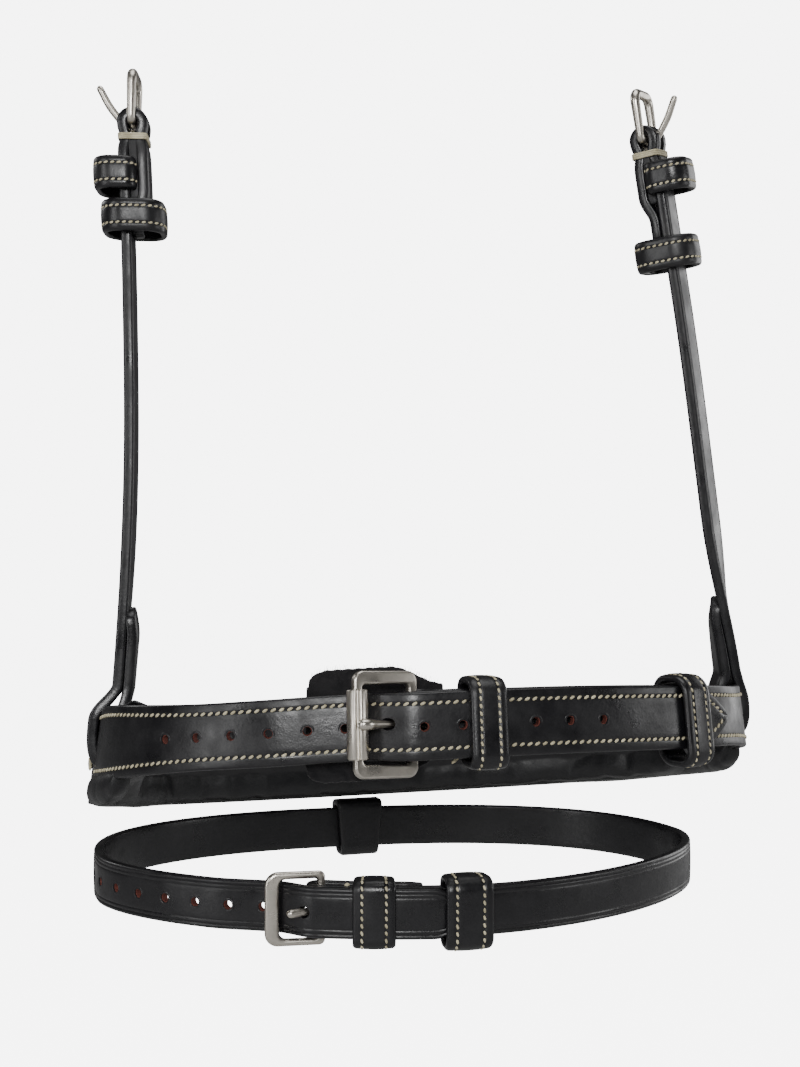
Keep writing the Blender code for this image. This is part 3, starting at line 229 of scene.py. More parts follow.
def suede(name):
    """Napped suede: no shine, a soft fibre noise and a pale rim."""
    sheen = {"Sheen_Weight": 0.18, "Sheen_Roughness": 0.5, "Specular_IOR_Level": 0.2}
    look = Look(name, (0.010, 0.010, 0.011), 0.95, **sheen)
    brushed = look.noise(160.0, 4.0, Distortion=1.5)
    look.cloudy("Base Color", brushed, (0.006, 0.006, 0.007), (0.018, 0.017, 0.018))
    fibre = look.noise(1800.0, 6.0, Roughness=0.75)
    return look.bump((fibre, 0.8, 0.25 * MM), (brushed, 0.3, 0.4 * MM))


def raw_leather(name, dark, light):
    """The undyed fibres inside a punched hole."""
    look = Look(name, dark, 0.85)
    fibre = look.noise(1400.0, 4.0)
    look.cloudy("Base Color", fibre, dark, light)
    return look.bump((fibre, 0.6, 0.15 * MM))


def nickel(name, base):
    """Satin nickel with fine scratches and a few duller clouds."""
    look = Look(name, base, 0.3, 1.0)
    clouds = look.noise(190.0, 3.0)
    look.cloudy("Roughness", clouds, 0.24, 0.42)
    look.cloudy("Base Color", clouds, base, [c * 0.72 for c in base])
    return look.bump((look.noise(700.0, 5.0, Distortion=2.0), 0.12, 0.05 * MM))


def thread(name, pale, dark):
    """Waxed linen thread: twisted strands and a little dirt."""
    look = Look(name, pale, 0.62)
    look.cloudy("Base Color", look.noise(260.0, 3.0), pale, dark)
    return look.bump((look.texture("Wave", 900.0, Distortion=2.0), 0.5, 0.08 * MM))


BRIDLE = leather("bridle_leather", (0.0035, 0.0033, 0.0045), (0.0075, 0.0072, 0.0085), 0.24, 0.50, 1.0)
BRIDLE_BACK = leather("bridle_leather_back", (0.004, 0.004, 0.005), (0.007, 0.007, 0.008), 0.50, 0.66, 1.6)
SOFT = leather("soft_lining_leather", (0.003, 0.003, 0.004), (0.006, 0.006, 0.007), 0.38, 0.55, 1.5, 0.05)
SUEDE = suede("guard_suede")
RAW = raw_leather("raw_hole_leather", (0.075, 0.016, 0.012), (0.16, 0.042, 0.028))
NICKEL = nickel("satin_nickel", (0.66, 0.62, 0.55))
THREAD = thread("cream_waxed_thread", (0.66, 0.60, 0.42), (0.34, 0.30, 0.19))


# ---- numbers and places


def smooth(value, start, end):
    """0 before start, 1 after end and a smooth step between."""
    t = min(1.0, max(0.0, (value - start) / (end - start)))
    return t * t * (3.0 - 2.0 * t)


def mix(a, b, share):
    return a + (b - a) * share


def quarter_round(share):
    """Rises like a quarter of a circle from 0 to 1."""
    return sqrt(max(0.0, 1.0 - (1.0 - min(1.0, share)) ** 2))


def spaced(start, end, longest=1.6 * MM):
    """Evenly spaced values from start to end, no further apart than longest."""
    count = max(1, ceil(abs(end - start) / longest))
    return [mix(start, end, i / count) for i in range(count + 1)]


def circle(radius, count):
    angles = [2.0 * pi * i / count for i in range(count)]
    return [(radius * cos(angle), radius * sin(angle)) for angle in angles]


def frame_matrix(origin, x_axis, y_axis):
    """A matrix whose local X and Y point along the two given directions."""
    x = Vector(x_axis).normalized()
    z = x.cross(Vector(y_axis)).normalized()
    matrix = Matrix((x, z.cross(x), z)).transposed().to_4x4()
    matrix.translation = Vector(origin)
    return matrix


def turned(matrix, degrees, axis):
    """The matrix turned about one of its own axes."""
    return matrix @ Matrix.Rotation(radians(degrees), 4, axis)


def rounded_box(width, height, radius, steps=8, left_radius=None):
    """Points of a rectangle with round corners about the origin, counter-clockwise."""
    points = []
    for sign_x, sign_y, start in ((1, 1, 0), (-1, 1, 90), (-1, -1, 180), (1, -1, 270)):
        corner = left_radius if sign_x < 0 and left_radius is not None else radius
        centre_x, centre_y = sign_x * (width / 2 - corner), sign_y * (height / 2 - corner)
        for i in range(steps + 1):
            angle = radians(start + 90.0 * i / steps)
            points.append((centre_x + corner * cos(angle), centre_y + corner * sin(angle)))
    return points


def walk(outline, step=1.4 * MM):
    """Points round a closed outline, its sides divided into lengths of about a step."""
    points = []
    for (x, y), (next_x, next_y) in zip(outline, outline[1:] + outline[:1]):
        count = max(1, round(hypot(next_x - x, next_y - y) / step))
        points += [(mix(x, next_x, i / count), mix(y, next_y, i / count)) for i in range(count)]
    return points


def smooth_path(points, steps=6):
    """A Catmull-Rom curve through a few points."""
    given = [Vector(p) for p in points]
    padded = [2 * given[0] - given[1]] + given + [2 * given[-1] - given[-2]]
    path = []
    for a, b, c, d in zip(padded, padded[1:], padded[2:], padded[3:]):
        for t in [i / steps for i in range(steps)]:
            square = (2 * a - 5 * b + 4 * c - d) * t * t
            path.append(0.5 * (2 * b + (c - a) * t + square + (3 * b - a - 3 * c + d) * t**3))
    path.append(given[-1])
    return path


# ---- meshes


def new_object(name, data):
    """An object linked to the scene."""
    obj = bpy.data.objects.new(name, data)
    bpy.context.scene.collection.objects.link(obj)
    return obj


def bmesh_object(name, bm):
    mesh = bpy.data.meshes.new(name)
    bm.to_mesh(mesh)
    bm.free()
    return new_object(name, mesh)


def evaluated_mesh(obj):
    """The mesh that an object's curve or modifiers give."""
    bpy.context.view_layer.update()
    return bpy.data.meshes.new_from_object(obj.evaluated_get(bpy.context.evaluated_depsgraph_get()))


def shown(name, mesh, material, sharp_angle, weld=0.0):
    """An object with outward faces, smooth shading and one material."""
    bm = bmesh.new()
    bm.from_mesh(mesh)
    if weld:
        bmesh.ops.remove_doubles(bm, verts=bm.verts, dist=weld)
    bmesh.ops.recalc_face_normals(bm, faces=bm.faces)
    bm.to_mesh(mesh)
    bm.free()
    mesh.name = name
    mesh.shade_smooth()
    mesh.set_sharp_from_angle(angle=radians(sharp_angle))
    mesh.materials.clear()
    mesh.materials.append(material)
    return new_object(name, mesh)


def add_mesh(name, verts, faces, material, sharp_angle=38.0):
    mesh = bpy.data.meshes.new(name)
    mesh.from_pydata([tuple(v) for v in verts], [], faces)
    return shown(name, mesh, material, sharp_angle)


def ring_faces(rings, size, first=0, closed=False):
    """Faces between neighbouring rings of points."""
    faces = []
    for i in range(rings if closed else rings - 1):
        a, b = first + i * size, first + (i + 1) % rings * size
        faces += [(a + k, a + (k + 1) % size, b + (k + 1) % size, b + k) for k in range(size)]
    return faces


def place(piece, body, slot, *nodes):
    """Makes a piece ride on a body and stand for its CAD nodes."""
    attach(piece, body)
    if nodes:
        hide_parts(*nodes)
    return piece


def curve_object(name, dimensions, bevel, resolution, outlines, closed, radii=None):
    """A curve with round edges through the points of each outline."""
    curve = bpy.data.curves.new(name, "CURVE")
    curve.dimensions = dimensions
    curve.bevel_depth = bevel
    curve.bevel_resolution = resolution
    for outline in outlines:
        spline = curve.splines.new("POLY")
        spline.points.add(len(outline) - 1)
        for target, point, radius in zip(spline.points, outline, radii or [1.0] * len(outline)):
            target.co = (*point, 1.0)
            target.radius = radius
        spline.use_cyclic_u = closed
    return new_object(name, curve), curve


def curve_mesh(obj, material, matrix):
    """Replaces a curve object by its welded mesh, placed by a matrix."""
    name, mesh = obj.name, evaluated_mesh(obj)
    bpy.data.objects.remove(obj)
    mesh.transform(matrix)
    return shown(name, mesh, material, 40.0, 0.002 * MM)


def wire(name, points, radii, material, matrix=Matrix.Identity(4), closed=False):
    """A round bar along local points; radii is one radius or one for each point."""
    sizes = radii if isinstance(radii, (list, tuple)) else [radii] * len(points)
    biggest = max(sizes)
    shares = [size / biggest for size in sizes]
    obj, curve = curve_object(name, "3D", biggest, 6, [points], closed, shares)
    curve.use_fill_caps = True
    return curve_mesh(obj, material, matrix)


def plate(name, outlines, thickness, rounding, material, matrix):
    """A flat plate with soft edges: the first outline is its rim and the others are openings."""
    flat = [[(x, y, 0.0) for x, y in outline] for outline in outlines]
    obj, curve = curve_object(name, "2D", rounding, 4, flat, True)
    curve.fill_mode = "BOTH"
    curve.extrude = thickness / 2 - rounding
    curve.offset = -rounding
    return curve_mesh(obj, material, matrix)


def cut(target, cutter):
    """Takes the cutter's shape out of the target and removes the cutter."""
    boolean = target.modifiers.new("cut", "BOOLEAN")
    boolean.object = cutter
    boolean.operation = "DIFFERENCE"
    boolean.solver = "EXACT"
    mesh = evaluated_mesh(target)
    target.modifiers.clear()
    old, target.data = target.data, mesh
    bpy.data.meshes.remove(old)
    bpy.data.objects.remove(cutter)
    mesh.set_sharp_from_angle(angle=radians(38.0))


def cylinder_cutter(places, radii, depth):
    """Cylinders along local Y of each matrix."""
    bm = bmesh.new()
    for matrix, radius in zip(places, radii):
        sizes = {"segments": 28, "radius1": radius, "radius2": radius, "depth": depth}
        bmesh.ops.create_cone(bm, cap_ends=True, matrix=turned(matrix, 90.0, "X"), **sizes)
    return bmesh_object("cutter", bm)


def box_cutter(matrix, corner_low, corner_high):
    size = Vector(corner_high) - Vector(corner_low)
    middle = (Vector(corner_high) + Vector(corner_low)) / 2
    bm = bmesh.new()
    shape = Matrix.Translation(middle) @ Matrix.Diagonal((*size, 1.0))
    bmesh.ops.create_cube(bm, size=1.0, matrix=matrix @ shape)
    return bmesh_object("cutter", bm)


# ---- straps


def strap_profile(half, thickness, edge, creases, crown):
    """(across, out) points round a strap's section, clockwise from its lower outer corner.

    creases holds (inset from the edge, depth, width) of the grooves pressed in the outer face.
    """
    edge = min(edge, 0.45 * half, 0.48 * thickness)
    flat = half - edge
    centres = [(max(0.15 * half, half - inset), depth, width) for inset, depth, width in creases]
    across = [flat * (i / 6.0 - 1.0) for i in range(13)]
    for centre, _, width in centres:
        for sign in (-1.0, 1.0):
            across += [sign * min(flat, centre + width * k) for k in (-1.0, -0.5, 0.0, 0.5, 1.0)]

    def corner(side, level, start, steps):
        """Points of a rounded corner, every 22.5 degrees."""
        turns = [radians(start + 22.5 * i) for i in steps]
        middle = (side * flat, level * (thickness / 2 - edge))
        return [(middle[0] + edge * sin(turn), middle[1] + edge * cos(turn)) for turn in turns]

    points = corner(-1, 1, -90.0, range(1, 4))
    for u in sorted(across):
        v = thickness / 2 + crown * (1.0 - (u / half) ** 2)
        for centre, depth, width in centres:
            v -= depth * exp(-(((abs(u) - centre) / (0.55 * width)) ** 2))
        points.append((u, v))
    points += corner(1, 1, 0.0, range(1, 4)) + corner(1, -1, 90.0, range(5))
    points += [(flat * (1.0 - i / 4.0), -thickness / 2) for i in range(1, 8)]
    return points + corner(-1, -1, 180.0, range(5))


def station_vectors(rows, closed=False):
    """Middles, half widths, directions and outward normals of the stations of a strap."""
    bottom = np.array([tuple(row[0]) for row in rows])
    top = np.array([tuple(row[1]) for row in rows])
    middle, across = (bottom + top) / 2, (top - bottom) / 2
    if closed:
        along = np.roll(middle, -1, 0) - np.roll(middle, 1, 0)
    else:
        along = np.gradient(middle, axis=0)
    along /= np.linalg.norm(along, axis=1)[:, None]
    half = np.linalg.norm(across, axis=1)
    across /= half[:, None]
    outward = np.cross(along, across)
    outward /= np.linalg.norm(outward, axis=1)[:, None]
    return middle, across, along, outward, half


def strap(name, rows, thickness, material, edge=0.8 * MM, creases=(), crown=0.0, closed=False):
    """A strap swept through its stations; each row is the pair of edge points of its middle surface."""
    middle, across, along, outward, half = station_vectors(rows, closed)
    sections = [(middle[i], half[i], 0.0, across[i], outward[i]) for i in range(len(rows))]
    if not closed:
        ends = []
        for i, sign in ((0, 1.0), (-1, -1.0)):
            steps = []
            for shrink, shift in ((0.6 * edge, 0.0), (0.18 * edge, 0.3 * edge), (0.0, 0.9 * edge)):
                centre = middle[i] + along[i] * sign * shift
                steps.append((centre, max(0.2 * MM, half[i] - shrink), shrink, across[i], outward[i]))
            ends.append(steps)
        sections = ends[0] + sections[1:-1] + ends[1][::-1]
    verts = []
    for centre, half_width, shrink, u_axis, v_axis in sections:
        profile = strap_profile(half_width, thickness - 2 * shrink, edge, creases, crown)
        verts += [centre + u_axis * u + v_axis * v for u, v in profile]
    size = len(profile)
    faces = ring_faces(len(sections), size, closed=closed)
    if not closed:
        faces += [tuple(range(size)), tuple(range(len(verts) - size, len(verts)))]
    return add_mesh(name, verts, faces, material)


def stitch_places(rows, thickness, inset, sign, pitch, start, end, closed):
    """Evenly spaced (centre, direction, normal) on a strap's outer face, along one edge."""
    middle, across, along, outward, half = station_vectors(rows, closed)
    reach = np.maximum(half - inset, 0.0)[:, None]
    points = middle + across * reach * sign + outward * thickness / 2
    if closed:
        points, outward = np.vstack([points, points[:1]]), np.vstack([outward, outward[:1]])
    lengths = np.concatenate([[0.0], np.cumsum(np.linalg.norm(np.diff(points, axis=0), axis=1))])
    total = lengths[-1] - start - end
    count = max(1, round(total / pitch))

    def at(length, values):
        return Vector([np.interp(length, lengths, values[:, k]) for k in range(3)])

    places = []
    for i in range(count):
        here = start + (i + 0.5) * total / count
        along_edge = at(here + 0.5 * MM, points) - at(here - 0.5 * MM, points)
        places.append((at(here, points), along_edge.normalized(), at(here, outward).normalized()))
    return places


def stitches(name, places, body, length=1.9 * MM, radius=THREAD_RADIUS, slant=27.0, proud=0.14 * MM):
    """Short thread stitches, each a slightly slanted capsule half sunk in the leather."""
    template = bmesh.new()
    bmesh.ops.create_icosphere(template, subdivisions=2, radius=1.0)
    shape = np.array([tuple(v.co) for v in template.verts])
    triangles = [[v.index for v in face.verts] for face in template.faces]
    template.free()
    shape[:, 0] = np.sign(shape[:, 0]) * np.abs(shape[:, 0]) ** 0.8
    verts, faces = [], []
    for centre, along, normal in places:
        turn = slant + RANDOM.uniform(-4.0, 4.0)
        matrix = turned(frame_matrix(centre + normal * proud, along, normal), turn, "Y")
        size = np.array([length / 2 * RANDOM.uniform(0.94, 1.04), radius * 0.85, radius * 1.12])
        faces += [[len(verts) + k for k in face] for face in triangles]
        verts += list((shape * size) @ np.array(matrix.to_3x3()).T + np.array(matrix.translation))
    return place(add_mesh(name, verts, faces, THREAD, 180.0), body, "waxed_thread")


def edge_stitches(name, rows, thickness, body, labels=("lower", "upper"), inset=STITCH_INSET,
                  pitch=STITCH_PITCH, start=0.0, end=0.0, closed=False, **thread_size):
    """A line of stitches along each edge of a strap's outer face."""
    for sign, label in zip((-1.0, 1.0), labels):
        places = stitch_places(rows, thickness, inset, sign, pitch, start, end, closed)
        stitches(f"{name}_stitches_{label}", places, body, **thread_size)


def lathed(name, places, section, count, material, body):
    """Closed rings round local Y of each matrix; section holds (radius, height) pairs."""
    verts, faces = [], []
    for matrix in places:
        faces += ring_faces(len(section), count, len(verts), closed=True)
        for size, height in section:
            verts += [matrix @ Vector((x, height, z)) for x, z in circle(size, count)]
    place(add_mesh(name, verts, faces, material), body, "leather")


def punch(pieces, tongue_way, tongue_radius, holes, depth):
    """Cuts the punched holes and the slanted way of the buckle's tongue."""
    for piece in pieces:
        radii = [tongue_radius] + [HOLE_RADIUS] * len(holes)
        cut(piece, cylinder_cutter([tongue_way] + holes, radii, depth))


def finish_holes(name, holes, thickness, rim_width, rim_lift, body):
    """Undyed leather inside each hole, and the low swelling that the punch pressed round it."""
    depth, wall, outside = thickness - 0.5 * MM, 0.22 * MM, HOLE_RADIUS - 0.02 * MM
    tube = [(outside, -depth / 2), (outside, depth / 2)]
    tube += [(HOLE_RADIUS - wall, depth / 2 - 0.1 * MM), (HOLE_RADIUS - wall, -depth / 2)]
    lathed(f"{name}_hole_edges", holes, tube, 24, RAW, body)
    middle, lift = HOLE_RADIUS + rim_width, thickness / 2 + rim_lift
    rim = [(middle + 0.30 * MM * x, lift + 0.11 * MM * z) for x, z in circle(1.0, 8)]
    lathed(f"{name}_hole_rims", holes, rim, 28, BRIDLE, body)


def fold_path(bar_radius, thickness, layers_apart, tail, keeper_room=0.0, keeper_end=0.0):
    """Middle line (along, out) of a strap end folded round a bar at (0, 0); the tail lies inside."""
    radius = bar_radius + GAP + thickness / 2
    points = []
    for along in spaced(tail, 1.0 * MM):
        near = mix(layers_apart + keeper_room, layers_apart, smooth(along, keeper_end, keeper_end + 9.0 * MM))
        points.append((along, radius - mix(2 * radius, near, smooth(along, 3.0 * MM, 10.0 * MM))))
    for angle in [radians(-90.0 - 180.0 / 16 * i) for i in range(17)]:
        points.append((radius * cos(angle), radius * sin(angle)))
    return points, radius


def hook_points(eye_radius, shank, eye_thickness, shank_radii):
    """A tongue's path and radii: an open eye round the bar at (0, 0), then the shank."""
    turns = [radians(330.0 - 15.0 * i) for i in range(17)]
    points = [(eye_radius * cos(turn), eye_radius * sin(turn), 0.0) for turn in turns]
    radii = [eye_thickness] * len(points)
    path = smooth_path([points[-1]] + [(x, y, 0.0) for x, y in shank])
    sizes = smooth_path([(size, 0.0, 0.0) for size in (eye_thickness, *shank_radii)])
    points += [tuple(p) for p in path[1:]]
    radii += [p.x for p in sizes[1:]]
    tip, last = Vector(points[-1]), radii[-1]
    ahead = (tip - Vector(points[-2])).normalized()
    for turn in [radians(angle) for angle in (30.0, 55.0, 75.0, 86.0)]:
        points.append(tuple(tip + ahead * last * sin(turn)))
        radii.append(last * cos(turn))
    return points, radii


# ---- rings


class Ring:
    """A level closed curve, measured by length from the middle of its chin side."""

    def __init__(self, half_width, half_depth, front_power, back_power, centre_y, centre_x=0.0):
        angle = np.radians(np.linspace(-270.0, 90.0, 2881))
        cosine, sine = np.cos(angle), np.sin(angle)
        power = np.where(sine < 0.0, front_power, back_power)
        self.x = centre_x + half_width * np.sign(cosine) * np.abs(cosine) ** (2.0 / power)
        self.y = centre_y + half_depth * np.sign(sine) * np.abs(sine) ** (2.0 / power)
        lengths = np.concatenate([[0.0], np.cumsum(np.hypot(np.diff(self.x), np.diff(self.y)))])
        self.s = lengths - lengths[len(angle) // 2]
        self.half_length = float(self.s[-1])
        along_x, along_y = np.gradient(self.x, self.s), np.gradient(self.y, self.s)
        size = np.hypot(along_x, along_y)
        self.out_x, self.out_y = along_y / size, -along_x / size
        self.front = slice(np.argmin(self.x), np.argmax(self.x) + 1)

    def at_x(self, x):
        return float(np.interp(x, self.x[self.front], self.s[self.front]))

    def at_y(self, y):
        right = slice(len(self.s) // 2, None)
        return float(np.interp(y, self.y[right], self.s[right]))

    def level(self, s, values_x, values_y, z):
        return Vector((float(np.interp(s, self.s, values_x)), float(np.interp(s, self.s, values_y)), z))

    def outward(self, s):
        return self.level(s, self.out_x, self.out_y, 0.0)

    def point(self, s, out=0.0, z=0.0):
        return self.level(s, self.x, self.y, z) + self.outward(s).normalized() * out

    def frame(self, s, out, z, lean=0.0):
        """Local X runs along the strap towards -s, local Y points outward and local Z up."""
        outward = self.outward(s)
        return frame_matrix(self.point(s, out, z), outward.cross(UP), outward + UP * lean)


BAND = Ring(BAND_HALF_WIDTH, BAND_HALF_DEPTH, BAND_POWER, BAND_POWER, CENTRE_Y)
FLASH = Ring(
    (FLASH_RIGHT - FLASH_LEFT) / 2,
    FLASH_HALF_DEPTH,
    FLASH_FRONT_POWER,
    FLASH_BACK_POWER,
    FLASH_BACK - FLASH_HALF_DEPTH,
    FLASH_CENTRE_X,
)
SIDE_LENGTH = BAND.at_y(CENTRE_Y)


def chin_centre(s):
    return CHIN_HEIGHT - CHIN_DROP_AT_SIDES * (abs(s) / SIDE_LENGTH) ** 2


def chin_half_height(s):
    return mix(CHIN_HALF_HEIGHT, SIDE_HALF_HEIGHT, smooth(abs(s), 0.6 * SIDE_LENGTH, SIDE_LENGTH))


def flare(s, z):
    """How far the noseband's surfaces stand out at height z."""
    nose_share = smooth(abs(s), SIDE_LENGTH + NOSE_STRAP_LAP, SIDE_LENGTH + 2.0 * NOSE_STRAP_LAP)
    return FLARE * (mix(chin_centre(s), 0.0, nose_share) - z)


def band_point(s, out, z):
    return BAND.point(s, out + flare(s, z), z)


def chin_row(s, out, half_height):
    centre = chin_centre(s)
    return band_point(s, out, centre - half_height), band_point(s, out, centre + half_height)


# ---- nosepiece

LEATHER_AT_END = STRAP_FACE + GAP + NOSE_LEATHER_THICKNESS / 2
INNER_BRANCH = LINING_BACK - LOOP_CLEARANCE - HANGER_THICKNESS
PADDING_AT_END = INNER_BRANCH - LOOP_CLEARANCE - NOSE_PADDING_THICKNESS / 2
PADDING_AT_NOSE = NOSE_LINING_OUT + NOSE_LINING_THICKNESS / 2 + GAP + NOSE_PADDING_THICKNESS / 2
LEATHER_AT_NOSE = PADDING_AT_NOSE + NOSE_PADDING_THICKNESS / 2 + GAP + NOSE_LEATHER_THICKNESS / 2
NOSE_BLEND = 30.0 * MM
PAD_LOBES = 3
PAD_COLUMNS = 33
PAD_ROLL_COLUMNS = 4
PAD_COVER_THICKNESS = 0.8 * MM
LOBE_RISE = 1.6 * MM
GATHER = 0.05 * MM
SIMULATION_SCALE = 20.0
COVER_PRESSURE = 2.5
COVER_FRAMES = 26


def nose_rows(out_at_end, out_at_nose, inset, start_y, step=1.6 * MM):
    """Stations of one layer of the nosepiece, from its right end round the nose to its left end.

    Its height tapers to the side straps' at both ends.
    """
    right = []
    for s in spaced(BAND.at_y(CENTRE_Y + start_y), BAND.half_length, step):
        share = smooth(s, SIDE_LENGTH + NOSE_STRAP_LAP, SIDE_LENGTH + NOSE_STRAP_LAP + NOSE_BLEND)
        out = mix(out_at_end, out_at_nose, share)
        y = BAND.point(s).y - CENTRE_Y
        tall = smooth(y, NOSE_START_Y, NOSE_START_Y + NOSE_TAPER)
        bottom = mix(chin_centre(s) - SIDE_HALF_HEIGHT, NOSE_BOTTOM_AT_SIDES + NOSE_BOTTOM_SLOPE * y, tall)
        top = NOSE_TOP_AT_SIDES + NOSE_TOP_SLOPE * y
        right.append((band_point(s, out, bottom + inset), band_point(s, out, top - inset)))
    left = [tuple(Vector((-p.x, p.y, p.z)) for p in row) for row in right[-2::-1]]
    return right + left


def pad_sheet(rows, thickness):
    """The lining's sheet: for each station, points from the lower roll over the lobes to the upper roll."""
    middle, across, along, outward, half = station_vectors(rows)
    verts = []
    for i in range(len(rows)):
        gather = GATHER * sin(i * 1.9) + GATHER * sin(i * 0.83 + 1.0)
        for k in range(PAD_COLUMNS):
            t = 2.0 * k / (PAD_COLUMNS - 1) - 1.0
            lobe = abs(sin(pi * (t + 1.0) / 2.0 * PAD_LOBES)) ** 0.6
            into = -thickness * 0.5 - (LOBE_RISE + gather) * lobe
            edge = min(k, PAD_COLUMNS - 1 - k)
            if edge < PAD_ROLL_COLUMNS:
                into = mix(thickness * 0.5, into, sin(pi / 2 * edge / PAD_ROLL_COLUMNS))
            verts.append(middle[i] + across[i] * t * half[i] + outward[i] * into)
    faces = []
    for i in range(len(rows) - 1):
        for k in range(PAD_COLUMNS - 1):
            a, b = i * PAD_COLUMNS + k, (i + 1) * PAD_COLUMNS + k
            faces.append((a, a + 1, b + 1, b))
    return add_mesh("nosepiece_pad_cover", verts, faces, SOFT)


def stuff_cover(sheet, lines):
    """Lets the soft cover settle over its filling: held at its seams, pushed out between them."""
    last = PAD_COLUMNS - 1
    seams = {round(seam * last / PAD_LOBES) for seam in range(PAD_LOBES + 1)} | {1, last - 1}
    held = []
    for i in range(lines):
        at_end = i in (0, 1, lines - 2, lines - 1)
        held += [i * PAD_COLUMNS + k for k in range(PAD_COLUMNS) if k in seams or at_end]
    sheet.vertex_groups.new(name="seams").add(held, 1.0, "REPLACE")
    sheet.data.transform(Matrix.Scale(SIMULATION_SCALE, 4))
    cloth = sheet.modifiers.new("cover", "CLOTH")
    settings = cloth.settings
    settings.vertex_group_mass = "seams"
    settings.quality = 5
    settings.mass = 0.15
    settings.tension_stiffness = 25.0
    settings.compression_stiffness = 25.0
    settings.shear_stiffness = 10.0
    settings.bending_stiffness = 4.0
    settings.shrink_min = -0.012
    settings.use_pressure = True
    settings.uniform_pressure_force = -COVER_PRESSURE
    settings.effector_weights.gravity = 0.0
    cloth.point_cache.frame_start = 1
    cloth.point_cache.frame_end = COVER_FRAMES
    for step in range(1, COVER_FRAMES + 1):
        bpy.context.scene.frame_set(step)
    settled = evaluated_mesh(sheet)
    sheet.modifiers.clear()
    sheet.vertex_groups.clear()
    sheet.data = settled
    settled.transform(Matrix.Scale(1.0 / SIMULATION_SCALE, 4))
    bpy.context.scene.frame_set(1)


def make_nosepiece():
    outer = nose_rows(LEATHER_AT_END, LEATHER_AT_NOSE, 1.0 * MM, NOSE_LEATHER_START_Y)
    crease = [(STITCH_INSET, 0.3 * MM, 0.8 * MM)]
    piece = strap("nosepiece_outer", outer, NOSE_LEATHER_THICKNESS, BRIDLE, creases=crease)
    place(piece, "noseband", "leather", "nosepiece_leather")
    edge_stitches("nosepiece", outer, NOSE_LEATHER_THICKNESS, "noseband", start=3.0 * MM, end=3.0 * MM)
    rows = nose_rows(PADDING_AT_END, PADDING_AT_NOSE, 1.2 * MM, NOSE_START_Y)
    core = strap("nosepiece_felt", rows, NOSE_PADDING_THICKNESS, SOFT, edge=2.0 * MM)
    place(core, "noseband", "padding_leather", "nosepiece_padding")
    rows = nose_rows(PADDING_AT_END, PADDING_AT_NOSE, 0.3 * MM, NOSE_START_Y, 2.4 * MM)
    sheet = pad_sheet(rows, NOSE_PADDING_THICKNESS + 1.2 * MM)
    stuff_cover(sheet, len(rows))
    finer = sheet.modifiers.new("finer", "SUBSURF")
    finer.levels = 1
    finer.render_levels = 1
    wall = sheet.modifiers.new("wall", "SOLIDIFY")
    wall.thickness = PAD_COVER_THICKNESS
    wall.offset = 0.0
    mesh = evaluated_mesh(sheet)
    sheet.modifiers.clear()
    sheet.data = mesh
    mesh.shade_smooth()
    place(sheet, "noseband", "padding_leather", "nosepiece_lining")


# ---- chin straps

BAR_S = BAND.at_x(-34.0 * MM)
BAR_CLEARANCE = 2.0 * MM
BAR_OUT = STRAP_BACK - GAP - BAR_CLEARANCE
OVER_OUT = STRAP_FACE + GAP + LINING_THICKNESS + GAP + STRAP_THICKNESS / 2
STRAP_END = SIDE_LENGTH + NOSE_STRAP_LAP - 4.0 * MM
FOLDED_TAIL = 30.0 * MM
BACKING_START = 33.0 * MM
GUARD_OUT = STRAP_BACK - 7.0 * MM - 2 * GAP - GUARD_THICKNESS / 2
GUARD_LEFT = 34.5 * MM
GUARD_RIGHT = 12.0 * MM
GUARD_HALF_HEIGHT = 17.5 * MM
GUARD_ROUNDING = 8.0 * MM
GUARD_SKIVE = 18.0 * MM
BILLET_TIP = BAND.at_x(80.5 * MM)
BILLET_POINT = 15.0 * MM
BILLET_DIP = 2.2 * MM
BILLET_TONGUE_WAY = 88.0
HOLE_PITCH = 11.7 * MM
HOLES_EACH_WAY = 6
HOLE_RADIUS = 1.5 * MM
TONGUE_HOLE_RADIUS = 1.9 * MM
TONGUE_S = BAR_S - 9.5 * MM
ROLLER_REACH = 19.0 * MM
ROLLER_TILT = 19.0
ROLLER_RADIUS = 3.3 * MM
ROLLER_BORE = 2.3 * MM
ROLLER_HALF_LENGTH = 10.75 * MM
ROLLER_SEAM_DEPTH = 1.3 * MM
ROLLER_SEAM_SPREAD = 0.17
ROLLER_FRAME_TALL = 33.0 * MM
ROLLER_FRAME_BAR = 3.0 * MM
ROLLER_FRAME_SIDE = 4.3 * MM
EDGE_STITCH_CREASE = [(STITCH_INSET, 0.26 * MM, 0.75 * MM)]


def billet_out(s):
    """Offset of the perforated strap: it dips behind the roller, then rises over the heel bar."""
    dip = mix(STRAP_OUT, STRAP_OUT - BILLET_DIP, smooth(s, BAR_S - 48.0 * MM, BAR_S - 24.0 * MM))
    return mix(dip, OVER_OUT, smooth(s, BAR_S - 18.5 * MM, BAR_S + 1.0 * MM))


def billet_row(s, extra_out, inset):
    half = chin_half_height(s)
    if s > BAR_S - 30.0 * MM:
        half = min(half, CHIN_HALF_HEIGHT)
    share = min(1.0, max(0.0, (BILLET_TIP - s) / BILLET_POINT))
    half *= mix(0.12, 1.0, share * (1.35 - 0.35 * share))
    return chin_row(s, billet_out(s) + extra_out, max(0.8 * MM, half - inset))


def billet_hole(s):
    """The place of a punched hole; local Y is the strap's outward normal."""
    ahead, behind = (BAND.point(s + step, billet_out(s + step)) for step in mm(0.5, -0.5))
    normal = (ahead - behind).cross(UP).normalized()
    return frame_matrix(BAND.point(s, billet_out(s), chin_centre(s)), normal.cross(UP), normal)


def roller_frame_matrix():
    """Local X runs from the heel bar to the roller and tilts outward; local Y points outward."""
    return turned(BAND.frame(BAR_S, BAR_OUT, chin_centre(BAR_S), FLARE), ROLLER_TILT, "Z")


